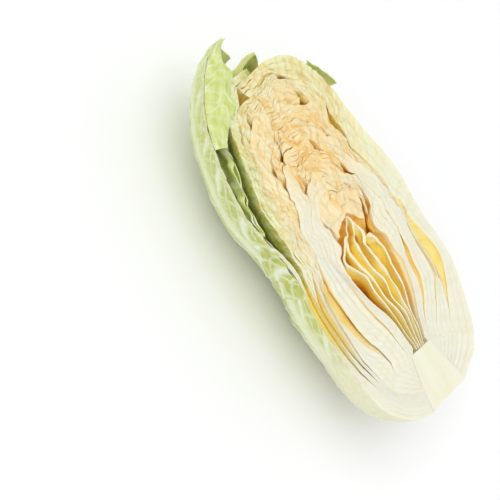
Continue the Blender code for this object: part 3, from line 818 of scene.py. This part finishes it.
def closed_shell(near, far, across):
    """Points and quads of a shell between two grids, and a function that spreads the two grids' values to its
    points. The rim has this many steps across the flesh, so that the cut face can be uneven."""
    rows, columns = near.shape[:2]
    size = rows * columns
    index = np.arange(size).reshape(rows, columns)
    inner = np.stack([index[:-1, :-1], index[:-1, 1:], index[1:, 1:], index[1:, :-1]], -1).reshape(-1, 4)
    rim = np.concatenate([index[0, :-1], index[:-1, -1], index[-1, :0:-1], index[:0:-1, 0]])
    between = [2 * size + step * len(rim) + np.arange(len(rim)) for step in range(across - 1)]
    rings = [rim, *between, rim + size]
    sides = []
    for here, there in zip(rings, rings[1:]):
        sides.append(np.stack([here, there, np.roll(there, -1), np.roll(here, -1)], -1))
    quads = np.concatenate([inner, inner[:, ::-1] + size, *sides])

    def spread(first, second):
        """Values of all the shell's points from those of its two grids."""
        first, second = (field.reshape(-1, field.shape[-1]) for field in (first, second))
        steps = [first[rim] + (second[rim] - first[rim]) * step / across for step in range(1, across)]
        return np.concatenate([first, second, *steps])

    points = spread(near, far)
    if shell_volume(points, quads) < 0:
        quads = quads[:, ::-1]
    return points, quads, spread


# The valleys of the cut face, by how they stretch along the head, and the pits between them
Valley = namedtuple("Valley", "stretch length seed width depth")
VALLEYS = (Valley((1.0, 1.0), 0.0110, 203, 0.24, 0.75), Valley((1.6, 1.0), 0.0062, 204, 0.26, 0.45))
VALLEY_BENDS = (Wave(0.0035, 0.034, 201), Wave(0.0012, 0.013, 202))
VALLEY_STRETCH = 0.20
VALLEYS_FROM = (0.015, 0.07)
PITS = Wave(1.0, 0.012, 205)
PIT_EDGE = (1.05, 0.5)
PIT_DEPTH = 0.9
MOST_SUNK = 1.4


def wrinkles(points):
    """How deep the cut face sinks at each point: narrow valleys that run mostly along the crown."""
    x, y = points[..., 0], points[..., 1]
    along = np.stack([VALLEY_STRETCH * x, y + waves(points * LEVEL, VALLEY_BENDS)], -1)
    sunk = PIT_DEPTH * ramp(wave(points * LEVEL, PITS), PIT_EDGE)
    for valley in VALLEYS:
        line = ripple(along * valley.stretch, valley.length, valley.seed)
        sunk = sunk + valley.depth * bell(line, valley.width)
    return ramp(x, VALLEYS_FROM) * np.clip(sunk, 0, MOST_SUNK)


def add_object(name, data):
    """A new object of the scene."""
    made = bpy.data.objects.new(name, data)
    bpy.context.scene.collection.objects.link(made)
    return made


def mesh_piece(name, points, quads, fields):
    """A new object from arrays of points and quads, with named fields on its points."""
    mesh = bpy.data.meshes.new(name)
    mesh.vertices.add(len(points))
    mesh.vertices.foreach_set("co", points.astype(np.float32).ravel())
    mesh.loops.add(quads.size)
    mesh.loops.foreach_set("vertex_index", quads.astype(np.int32).ravel())
    mesh.polygons.add(len(quads))
    mesh.polygons.foreach_set("loop_start", np.arange(0, quads.size, 4, dtype=np.int32))
    mesh.update(calc_edges=True)
    for field, values in fields.items():
        kind, key = ("FLOAT_COLOR", "color") if values.shape[-1] == 4 else ("FLOAT_VECTOR", "vector")
        made = mesh.attributes.new(field, kind, "POINT")
        made.data.foreach_set(key, values.astype(np.float32).ravel())
    mesh.shade_smooth()
    mesh.set_sharp_from_angle(angle=SHARP_EDGE)
    return add_object(name, mesh)


def place(name, slot, shells):
    """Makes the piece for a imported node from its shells, in its place and with its slot's finish."""
    points, quads, tones, grains = zip(*shells)
    starts = np.cumsum([0, *map(len, points[:-1])])
    quads = np.concatenate([part + start for part, start in zip(quads, starts)])
    points = np.concatenate(points) + MIDDLE
    points[:, 2] = np.maximum(points[:, 2], 0.0)
    fields = {"tone": np.concatenate(tones), "grain": np.concatenate(grains)}
    made = mesh_piece(f"{name}_piece", points, quads, fields)
    made.data.materials.append(MATERIALS[slot])
    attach(made, "root")
    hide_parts(name)


# Blade edges that peel off the head at the cut face: climbs in degrees, how wide they turn and how they rise
Flap = namedtuple("Flap", "name first last width first_rise last_rise narrows frill seed lies_down tip_green")
FLAPS = (
    Flap("crown_left_leaf", 112, 168, 0.62, 0.0010, 0.0120, 0.60, 0.0022, 31, 0.90, 0.2),
    Flap("crown_left_leaf", 122, 164, 0.50, 0.0040, 0.0075, 0.60, 0.0018, 32, 0.90, 0.2),
    Flap("outer_right_leaf", 156.5, 163, 0.20, 0.0068, 0.0004, 0.5, 0.0010, 33, 0.0, 0.7),
)
FLAP_ROWS = 90
FLAP_COLUMNS = 44
FLAP_CROWDING = 1.2
FLAP_THICKNESS = 0.0013
FLAP_LAYER = 0.985
FLAP_TEAR = Wave(0.05, 0.25, 0)
FLAP_FRILL = Wave(1.0, 0.013, 5)
FLAP_FRILL_GROWTH = 1.5
FLAP_NARROWING_POWER = 3
FLAP_FOOT_RISE = 0.75
FLAP_RISE_POWER = 1.5
FLAP_LEAST_RISE = 0.0004
FLAP_LIES_DOWN = (0.55, 0.45)
FLAP_TIP = (0.5, 0.5)


def flap_shell(leaf, flap):
    """A thin blade edge that stands off the head, frilled towards its end."""
    along = np.linspace(0, 1, FLAP_ROWS)[:, None]
    along, across = np.broadcast_arrays(along, graded(FLAP_COLUMNS, FLAP_CROWDING))
    torn = wave(across[..., None] * ALONG, FLAP_TEAR, flap.seed)
    climb = np.radians(flap.first + (flap.last - flap.first) * along * (1 + torn))
    low, high = cut_limits(leaf, climb)
    inwards = flap.width * (1 - flap.narrows * along**FLAP_NARROWING_POWER) * across
    turn = high - inwards if leans_right(leaf) else low + inwards
    rays = ray_at(leaf, climb, turn)
    head = outline_radius(rays, FLAP_LAYER)
    rise = smooth(along) * (1 - FLAP_FOOT_RISE * across**FLAP_RISE_POWER)
    rise = flap.first_rise + (flap.last_rise - flap.first_rise) * rise
    rise = rise * (1 - flap.lies_down * ramp(along, FLAP_LIES_DOWN))
    frill = flap.frill * wave(rays * head[..., None], FLAP_FRILL, flap.seed)
    near = head + np.maximum(rise + frill * smooth(along * FLAP_FRILL_GROWTH), FLAP_LEAST_RISE)
    grids = []
    for distance in (near, near + FLAP_THICKNESS):
        grids.append(swell(bend_head(rays * distance[..., None]), np.ones_like(near)))
    points, quads, spread = closed_shell(*grids, THIN_RIM_STEPS)
    flat = np.stack([walked(climb), turn * head], -1)
    tone = skin_tone(leaf, climb, *vein_map(leaf, climb, flat))
    tone = with_mask(mix(tone, TIP_GREEN, flap.tip_green * ramp(along, FLAP_TIP)), 0)
    grain = np.concatenate([flat, head[..., None]], -1)
    return points, quads, spread(tone, tone), spread(grain, grain)


# The free leaf's edge folded in over the crown: where it starts, its size, and how its width and height change
FOLD_START_X = 0.150
FOLD_END_GAP = 0.001
FOLD_WIDTH = 0.026
FOLD_FOOT_WIDTH = 0.45
FOLD_WIDENING = 2.2
FOLD_TIP = (0.62, 0.38)
FOLD_TIP_NARROWING = 0.70
FOLD_EDGE = Wave(0.13, 0.30, 61)
FOLD_SLANT = 0.25
FOLD_HEIGHT = 0.0023
FOLD_ROUND = 0.92
FOLD_ROUNDNESS = 0.8
FOLD_FRILL = Wave(0.0008, 0.012, 62)
FOLD_FRILL_GROWTH = 1.5
FOLD_LEAST_HEIGHT = 0.0006
FOLD_VEINS = Wave(1.0, 0.018, 63)
FOLD_VEIN_STRETCH = (1.6, 0.9)
FOLD_VEIN_WIDTH = 0.13
FOLD_VEIN_HEIGHT = 0.0006
FOLD_VEIN_SHARE = 0.65
FOLD_PUFFS = Wave(1.0, 0.009, 64)
FOLD_PUFF_SHARE = 0.30
FOLD_GREEN_EDGE = (0.7, 0.3)
FOLD_GREEN_SHARE = 0.35
FOLD_ROWS = 80
FOLD_COLUMNS = 44


def fold_shell(edge):
    """The free leaf's edge, folded in over the crown from its line at the cut face."""
    along = np.linspace(0, 1, FOLD_ROWS)[:, None]
    across = np.linspace(0, 1, FOLD_COLUMNS)[None, :]
    x = FOLD_START_X + (edge[:, 0].max() - FOLD_END_GAP - FOLD_START_X) * along
    order = np.argsort(edge[:, 0])
    y = np.interp(x, edge[order, 0], edge[order, 1])
    flat = np.stack(np.broadcast_arrays(x, across * FOLD_WIDTH), -1)
    width = FOLD_WIDTH * (FOLD_FOOT_WIDTH + (1 - FOLD_FOOT_WIDTH) * smooth(along * FOLD_WIDENING))
    width = width * (1 - FOLD_TIP_NARROWING * ramp(along, FOLD_TIP))
    sideways = width * (1 + wave(along * ALONG, FOLD_EDGE)[:, None]) * across
    height = FOLD_HEIGHT * np.sin(math.pi * FOLD_ROUND * across) ** FOLD_ROUNDNESS
    height = height + wave(flat, FOLD_FRILL) * smooth(across * FOLD_FRILL_GROWTH)
    veins = bell(wave(flat * FOLD_VEIN_STRETCH, FOLD_VEINS), FOLD_VEIN_WIDTH)
    over = np.maximum(height, FOLD_LEAST_HEIGHT) + FOLD_VEIN_HEIGHT * veins
    near = np.stack([x - FOLD_SLANT * sideways * (1 - along), y - sideways, over], -1)
    points, quads, spread = closed_shell(near, near + (0, 0, FLAP_THICKNESS), THIN_RIM_STEPS)
    puffy = 1 + np.clip(wave(flat, FOLD_PUFFS), -1, 1)
    tone = mix(LIGHT_GREEN, PATCH_GREEN, FOLD_PUFF_SHARE * puffy)
    tone = mix(tone, VEIN_MINT, FOLD_VEIN_SHARE * veins)
    tone = with_mask(mix(tone, TIP_GREEN, FOLD_GREEN_SHARE * ramp(across, FOLD_GREEN_EDGE)), 0)
    grain = np.stack([near[..., 0], sideways, height], -1)
    return points, quads, spread(tone, tone), spread(grain, grain)


# How far the crumpled look reaches, which is the wrinkles and the peach shade painted in the folds, where it
# fades outwards, and how much of it stays everywhere inside
CROWN_LOOKS = (-0.01, 0.10)
CROWN_LOOKS_FADE = (0.86, 0.12)
CROWN_LOOKS_FADING = 0.6
LEAST_CROWN_LOOKS = 0.15
# How much of the deep colour, the blades' own colour with painted slit shade, shows at the cut, beside a wide
# slit more, and where the bared leaf is green
NEAR_MARGIN = 0.45
FAR_MARGIN = 0.40
WIDE_MARGIN = 2.0
BARED = (1.95, 0.4)
BARED_SHARE = 0.85
# How deep the cut face's wrinkles are, how deep down they reach, and the shade painted into their valleys
WRINKLE_DEPTH = 0.0022
WRINKLE_REACH = 0.0045
VALLEY_WARMTH = 0.5
VALLEY_GREEN = 0.6
VALLEY_PAINTED_SHADE = 0.62
VALLEY_SHARPNESS = 1.5
# How the fibres' pattern shifts from sheet to sheet, and from a sheet's inner to its outer face
SHEET_SHIFT = 0.0007
FACE_SHIFT = 0.002


def add_leaf(index):
    """Adds one leaf with its sheets, its flaps and its folded edge."""
    leaf = LEAVES[index]
    drawn = leaf_shells(index)
    x = drawn.shells[0][0][..., 0]
    covered = 1 - drawn.outside
    crown = ramp(x, CROWN_LOOKS) * (1 - rib_share(drawn.ribbed, x)) * covered
    crown = crown * (1 - CROWN_LOOKS_FADING * ramp(drawn.share, CROWN_LOOKS_FADE))
    crown = np.maximum(crown, LEAST_CROWN_LOOKS * covered)
    near_margin = NEAR_MARGIN * WIDE_MARGIN if leaf.gap > GAP else NEAR_MARGIN
    shells = []
    for number, (near, far) in enumerate(drawn.shells):
        last = number == SHEETS - 1
        points, quads, spread = closed_shell(near, far, RIM_STEPS)
        near_tone = tone_of(leaf, drawn, near, 0.0 if number else near_margin)
        far_tone = tone_of(leaf, drawn, far, FAR_MARGIN if last or not number else 0.0)
        if last:
            bare = drawn.outside
            if leaf.name == BARED_NAME:
                bare = np.maximum(bare, BARED_SHARE * ramp(drawn.climb, BARED))
            far_tone = mix(far_tone, skin_tone(leaf, drawn.climb, drawn.veins, drawn.puffs), bare)
        tone = spread(with_mask(near_tone, crown), with_mask(far_tone, crown))
        # between its two faces the cut shows the plain flesh
        plain = spread(*(with_mask(tone_of(leaf, drawn, face, 0.0), crown) for face in (near, far)))
        rim = 2 * crown.size
        tone[rim:] = plain[rim:]
        sunk = wrinkles(points) * tone[:, 3] * np.exp(np.minimum(points[:, 2], 0) / WRINKLE_REACH)
        points[:, 2] -= WRINKLE_DEPTH * sunk
        # painted shade: the wrinkles' valleys turn peach, orange or green as deep as they sink
        warm = VALLEY_WARMTH * leaf.warmth
        shade = mix(ORANGE * warm + PEACH * (1 - warm), PATCH_GREEN, VALLEY_GREEN * leaf.green)
        tone[:, :3] = mix(tone[:, :3], shade, VALLEY_PAINTED_SHADE * np.clip(sunk, 0, 1) ** VALLEY_SHARPNESS)
        grain = np.concatenate([drawn.flat, (drawn.radial + SHEET_SHIFT * number)[..., None]], -1)
        shells.append((points, quads, tone, spread(grain, grain + (0, 0, FACE_SHIFT))))
    shells += [flap_shell(leaf, flap) for flap in FLAPS if flap.name == leaf.name]
    if leaf.name == CURLED_NAME:
        shells.append(fold_shell(drawn.shells[-1][1][:, 0]))
    place(leaf.name, "outer_leaf" if index >= FIRST_OUTER_LEAF else "inner_leaf", shells)


HeartLeaf = namedtuple("HeartLeaf", "name foot_share tip_share wave phase tip_x")
HEART_LEAVES = (
    HeartLeaf("heart_leaf_1", 0.72, 0.68, 0.08, 0.4, 0.036),
    HeartLeaf("heart_leaf_2", 0.36, 0.38, 0.08, 1.9, 0.050),
    HeartLeaf("heart_leaf_3", 0.00, 0.05, 0.09, 2.6, 0.056),
    HeartLeaf("heart_leaf_4", -0.36, -0.32, 0.08, 3.9, 0.047),
    HeartLeaf("heart_leaf_5", -0.72, -0.68, 0.07, 5.0, 0.032),
)
HEART_ROWS = 180
HEART_COLUMNS = 40
HEART_CROWDING = 2.0
HEART_RIM_STEPS = 3
HEART_FIT = 0.93
HEART_DEPTH_SHARE = 0.80
HEART_LEAST_FALL = 0.25
HEART_FALL_SPAN = 0.62
HEART_TIP_LONGER = 0.010
HEART_TIP_MOST = 0.0595
HEART_MOST_SHARE = 0.95
# How the leaves fan out and wave towards the crown, broadly and finely
HEART_FAN = 0.20
HEART_WAVE_PACE = 7.5
HEART_WAVE_SLANT = 1.1
HEART_WAVE_GROWTH = 3
HEART_RIPPLE = 0.10
HEART_RIPPLE_PACE = 15
HEART_RIPPLE_PHASE = 0.9
HEART_RIPPLE_SLANT = 1.6
HEART_RIPPLE_STEP = 0.8
HEART_RIPPLE_GROWTH = 4
HEART_BENDS = Wave(0.0015, 0.022, 500)
# Their thickness, which grows from the foot and from the cut edge down
HEART_BLADE = 0.0026
HEART_FOOT_BLADE = 0.0013
HEART_BLADE_GROWTH = 2.5
HEART_THIN = 0.62
HEART_UNEVEN = Wave(0.2, 0.02, 540)
HEART_SWELLING = 1.3
HEART_SWELLS = (0.003, 0.009)
# How far their edges lie below the cut face, and their colours: cream at the cut and their own yellow below it,
# turning orange deeper down as painted shade of the hollow
HEART_LOW = 0.0016
HEART_LOWS = Wave(1.0, 0.03, 580)
HEART_LOW_REACH = 0.005
HEART_LOW_GROWTH = 2
HEART_YELLOWS = (0.001, 0.004)
HEART_SHADE_DEPTHS = (0.004, 0.012)
HEART_SHADE_SHARE = 0.75
HEART_LOOKS = 0.2


def hollow_radius(x):
    """Half width of the heart's hollow."""
    reach = np.where(x > 0, HEART_CROWN_REACH, HEART_STEM_REACH)
    return HEART_RADIUS * np.clip(1 - (np.abs(x) / reach) ** HEART_POWER, 0, 1) ** (1 / HEART_POWER)


def add_heart_leaf(number, leaf):
    """Adds one young leaf, which stands in the hollow with its edge at the cut face."""
    foot_x = CORE_TOP_X + CORE_TOP_ROUNDING + CORE_END_GAP
    along = np.linspace(0, 1, HEART_ROWS)[:, None]
    deep = graded(HEART_COLUMNS, HEART_CROWDING)[None, :]
    tip_x = min(leaf.tip_x + HEART_TIP_LONGER, HEART_TIP_MOST)
    x = foot_x + (tip_x - foot_x) * along + 0 * deep
    radius = hollow_radius(x) * HEART_FIT
    drop = HEART_DEPTH_SHARE * np.sin(math.pi * (HEART_LEAST_FALL + HEART_FALL_SPAN * along)) * deep
    grown = smooth(along * HEART_WAVE_GROWTH)
    share = leaf.foot_share + (leaf.tip_share - leaf.foot_share) * along
    share = share + leaf.wave * np.sin(HEART_WAVE_PACE * along + leaf.phase + HEART_WAVE_SLANT * deep) * grown
    share = share * (1 + HEART_FAN * grown)
    phase = HEART_RIPPLE_PACE * along + HEART_RIPPLE_PHASE + HEART_RIPPLE_SLANT * deep
    rippled = smooth(along * HEART_RIPPLE_GROWTH)
    share = share + HEART_RIPPLE * np.sin(phase + HEART_RIPPLE_STEP * number) * rippled
    blade = HEART_FOOT_BLADE + (HEART_BLADE - HEART_FOOT_BLADE) * smooth(along * HEART_BLADE_GROWTH)
    half_width = np.sqrt(np.clip(1 - drop**2, 0, 1)) * radius
    y = np.clip(share, -HEART_MOST_SHARE, HEART_MOST_SHARE) * (half_width - blade)
    z = -drop * radius
    upright = np.stack([x, y, z], -1) * UPRIGHT
    wavy = wave(upright, HEART_BENDS, number) * rippled
    lower = smooth(along * HEART_LOW_GROWTH)
    blade = blade * (HEART_THIN + wave(upright, HEART_UNEVEN, number))
    blade = blade * (1 + HEART_SWELLING * ramp(-z, HEART_SWELLS) * lower)
    low = HEART_LOW * (1 + wave(upright, HEART_LOWS, number)) * lower
    inside = np.zeros_like(x)
    grids, tones, grains = [], [], []
    for side in (-1, 1):
        points = bend_head(np.stack([x, y + wavy + side * blade / 2, z], -1))
        points = crumple(swell(points, inside), inside)
        depth = -points[..., 2]
        points[..., 2] -= low * np.exp(-depth / HEART_LOW_REACH)
        top = mix(CREAM, YOUNG_YELLOW, ramp(depth, HEART_YELLOWS))
        # painted shade: deeper in the hollow the yellow turns orange
        tone = mix(top, HEART_SHADE_ORANGE, HEART_SHADE_SHARE * ramp(depth, HEART_SHADE_DEPTHS))
        grids.append(points)
        tones.append(with_mask(tone, HEART_LOOKS))
        grains.append(np.stack([x, depth, y], -1))
    points, quads, spread = closed_shell(*grids, HEART_RIM_STEPS)
    place(leaf.name, "young_leaf", [(points, quads, spread(*tones), spread(*grains))])


CORE_ROWS = 70
CORE_COLUMNS = 48
# The core is a little wider than its solid, so that it meets the leaves, and its face lies just over theirs
CORE_WIDER = 1.066
CORE_END_NARROWING = 0.12
CORE_FACE_HEIGHT = 0.0001
CORE_GREEN_WIDTH = 0.85
CORE_GREEN = 0.12
CORE_GRAIN = (1, 0.4, 0.4)


def add_core():
    """Adds the cut stem, which is faintly green in its middle."""
    wide, narrow = core_half_widths()
    x = np.linspace(STEM_CUT_X, CORE_TOP_X + CORE_TOP_ROUNDING, CORE_ROWS)[:, None]
    radius = wide + (narrow - wide) * np.clip((x - STEM_CUT_X) / (CORE_TOP_X - STEM_CUT_X), 0, 1)
    end = np.clip((x - CORE_TOP_X) / CORE_TOP_ROUNDING, 0, 1)
    radius = radius * CORE_WIDER * (1 - CORE_END_NARROWING * end**2)
    turn = np.linspace(0, math.pi, CORE_COLUMNS)
    outside = np.stack(np.broadcast_arrays(x, radius * np.cos(turn), -radius * np.sin(turn)), -1)
    flat = outside * LEVEL + (0, 0, CORE_FACE_HEIGHT)
    points, quads, _ = closed_shell(bend_head(flat), bend_head(outside), 1)
    across = np.hypot(points[:, 1], points[:, 2]) / (-points[:, 0] * math.tan(CORE_ANGLE))
    tone = with_mask(mix(IVORY, LIGHT_GREEN, CORE_GREEN * (1 - smooth(across / CORE_GREEN_WIDTH))), 0)
    place("stem_core", "core", [(points, quads, tone, points * CORE_GRAIN)])


# Stretches of the fibres and of the crown's folds, along and across the leaf and through its layers
FIBRE_STRETCH = (14.0, 260.0, 700.0)
FOLD_STRETCH = (45.0, 60.0, 420.0)
FIBRE_DETAIL = 3.0
FOLD_DETAIL = 4.0
CELL_SCALE = 260.0
CELL_DETAIL = 4.0
BLOTCH_SCALE = 55.0
BLOTCH_DETAIL = 3.0
# Where in their noise the streaks, blotches and folds start and end, and what they do to the colour; the folds'
# peach is painted shade
STREAK_NOISE = (0.35, 0.68)
STREAK_LIGHTER = 0.4
BLOTCH_NOISE = (0.3, 0.7)
BLOTCH_SHADES = (0.94, 1.04)
FOLD_NOISE = (0.42, 0.66)
GLOSS_SPREAD = (-0.07, 0.09)
RELIEF_DISTANCE = 0.0006
MOIST_FLESH = {
    "Subsurface Radius": (1.0, 0.85, 0.55),
    "Subsurface Scale": 0.003,
    "Specular IOR Level": 0.4,
    "Coat Weight": 0.12,
    "Coat Roughness": 0.25,
}


def leaf_material(name, roughness, streak, bump, glow):
    """Leaf flesh: the tone of each point, fibre streaks along the leaf, fine cells and a moist surface."""
    material = bpy.data.materials.new(name)
    material.use_nodes = True
    nodes, links = material.node_tree.nodes, material.node_tree.links

    def wire(node, sockets):
        """Links or sets a node's sockets."""
        for socket, value in sockets.items():
            if isinstance(value, bpy.types.NodeSocket):
                links.new(value, node.inputs[socket])
            else:
                node.inputs[socket].default_value = value
        return node

    def add(kind, sockets=None, **settings):
        """A new node."""
        node = nodes.new(kind)
        for key, value in settings.items():
            setattr(node, key, value)
        return wire(node, sockets or {})

    def maths(operation, first, second):
        """The result of one operation."""
        return add("ShaderNodeMath", {0: first, 1: second}, operation=operation).outputs[0]

    def noise(vector, scale, detail):
        """Cloudy noise from 0 to 1."""
        return add("ShaderNodeTexNoise", {"Vector": vector, "Scale": scale, "Detail": detail}).outputs["Fac"]

    def stretched(by):
        """The leaf's own coordinates, stretched."""
        sockets = {0: grain.outputs["Vector"], 1: by}
        return add("ShaderNodeVectorMath", sockets, operation="MULTIPLY").outputs[0]

    def ranged(value, noise_range, shades):
        """A value brought from one range to another."""
        sockets = {"Value": value, "From Min": noise_range[0], "From Max": noise_range[1]}
        sockets.update({"To Min": shades[0], "To Max": shades[1]})
        return add("ShaderNodeMapRange", sockets).outputs["Result"]

    tone = add("ShaderNodeAttribute", attribute_name="tone")
    grain = add("ShaderNodeAttribute", attribute_name="grain")
    place_in = add("ShaderNodeTexCoord").outputs["Object"]
    fibres = noise(stretched(FIBRE_STRETCH), 1.0, FIBRE_DETAIL)
    cells = noise(place_in, CELL_SCALE, CELL_DETAIL)
    streaks = ranged(fibres, STREAK_NOISE, (1.0 - streak, 1.0 + streak * STREAK_LIGHTER))
    patches = ranged(noise(place_in, BLOTCH_SCALE, BLOTCH_DETAIL), BLOTCH_NOISE, BLOTCH_SHADES)
    inverse = maths("DIVIDE", 1.0, maths("MULTIPLY", streaks, patches))
    darker = add("ShaderNodeGamma", {"Color": tone.outputs["Color"], "Gamma": inverse})
    # painted shade: the crown's crumpled blades turn peach in streaks along their fibres, as shade in their folds
    folds = ranged(noise(stretched(FOLD_STRETCH), 1.0, FOLD_DETAIL), FOLD_NOISE, (0.0, 1.0))
    peach = {
        "Factor": maths("MULTIPLY", folds, tone.outputs["Alpha"]),
        "A": darker.outputs["Color"],
        "B": (*(PEACH / CREAM), 1),
    }
    fold_shaded = add("ShaderNodeMix", peach, data_type="RGBA", blend_type="MULTIPLY")
    gloss = ranged(cells, (0.0, 1.0), [roughness + spread for spread in GLOSS_SPREAD])
    relief = {"Strength": bump, "Distance": RELIEF_DISTANCE, "Height": maths("ADD", fibres, cells)}
    looks = {
        "Base Color": fold_shaded.outputs["Result"],
        "Roughness": gloss,
        "Normal": add("ShaderNodeBump", relief).outputs["Normal"],
        "Subsurface Weight": glow,
    }
    wire(nodes["Principled BSDF"], looks | MOIST_FLESH)
    return material


MATERIALS = {
    "core": leaf_material("stem_flesh", roughness=0.45, streak=0.20, bump=0.45, glow=0.3),
    "young_leaf": leaf_material("young_leaf_flesh", roughness=0.45, streak=0.18, bump=0.45, glow=0.5),
    "inner_leaf": leaf_material("inner_leaf_flesh", roughness=0.45, streak=0.20, bump=0.45, glow=0.3),
    "outer_leaf": leaf_material("outer_leaf_flesh", roughness=0.42, streak=0.22, bump=0.5, glow=0.25),
}

FLOOR_SIZE = 6.0
FLOOR_LOOKS = {"Base Color": (0.97, 0.975, 0.99, 1), "Roughness": 0.9, "Specular IOR Level": 0.1}


def add_floor():
    """Adds the white paper that the half lies on."""
    mesh = bpy.data.meshes.new("floor")
    corners = [(x * FLOOR_SIZE, y * FLOOR_SIZE, 0) for x, y in ((-1, -1), (1, -1), (1, 1), (-1, 1))]
    mesh.from_pydata(corners, [], [(0, 1, 2, 3)])
    material = bpy.data.materials.new("floor_paper")
    material.use_nodes = True
    for socket, value in FLOOR_LOOKS.items():
        material.node_tree.nodes["Principled BSDF"].inputs[socket].default_value = value
    mesh.materials.append(material)
    add_object("floor", mesh)


# The camera looks down at the cut face from the free outer leaf's side, rolled so that the crown is up left
VIEW_TILT = math.radians(38)
VIEW_SKEW = 0.004
CROWN_ROLL = math.radians(28.6)
CAMERA_DISTANCE = 1.15
LENS = 106.9
AIM = (0.044, 0.004, 0.0)
AIM_PIXEL = (356.5, 234.3)
FRAME_SIDE = 500.0
SENSOR = 36.0


def add_camera():
    """Adds the camera, which shows the aimed point of the head at its pixel."""
    back = Vector((VIEW_SKEW, math.sin(VIEW_TILT), math.cos(VIEW_TILT))).normalized()
    up = Vector((1, 0, 0))
    up = (up - back * up.dot(back)).normalized()
    side = up.cross(back)
    right = side * math.cos(CROWN_ROLL) - up * math.sin(CROWN_ROLL)
    top = back.cross(right)
    per_pixel = CAMERA_DISTANCE * SENSOR / LENS / FRAME_SIDE
    aim = Vector(AIM) + Vector(MIDDLE)
    aim -= right * (AIM_PIXEL[0] - FRAME_SIDE / 2) * per_pixel
    aim += top * (AIM_PIXEL[1] - FRAME_SIDE / 2) * per_pixel
    turn = Matrix((right, top, back)).transposed()
    data = bpy.data.cameras.new("camera")
    data.lens = LENS
    data.sensor_width = SENSOR
    camera = add_object("camera", data)
    camera.matrix_world = Matrix.Translation(aim + back * CAMERA_DISTANCE) @ turn.to_4x4()
    bpy.context.scene.camera = camera


Lamp = namedtuple("Lamp", "name place size power")
LAMPS = (
    Lamp("key", (0.30, 0.30, 1.6), 1.4, 8),
    Lamp("fill", (-0.5, -1.2, 1.1), 1.6, 3),
    Lamp("side", (0.1, 1.5, 0.7), 1.2, 2),
)
LAMP_AIM = (0, 0, 0.03)
SKY_STRENGTH = 0.75


def add_lamp(lamp):
    """Adds a soft square light that faces the head."""
    data = bpy.data.lights.new(lamp.name, "AREA")
    data.energy = lamp.power
    data.size = lamp.size
    light = add_object(lamp.name, data)
    light.location = lamp.place
    light.rotation_euler = (Vector(LAMP_AIM) - Vector(lamp.place)).to_track_quat("-Z", "Y").to_euler()


def add_sky():
    """Adds even white light from all sides."""
    world = bpy.data.worlds.new("studio")
    world.use_nodes = True
    background = world.node_tree.nodes["Background"]
    background.inputs["Color"].default_value = (1, 1, 1, 1)
    background.inputs["Strength"].default_value = SKY_STRENGTH
    bpy.context.scene.world = world


add_core()
for number in range(len(LEAVES)):
    add_leaf(number)
for number, young in enumerate(HEART_LEAVES):
    add_heart_leaf(number, young)
add_floor()
add_camera()
for lamp in LAMPS:
    add_lamp(lamp)
add_sky()
bpy.context.scene.view_settings.view_transform = "Standard"
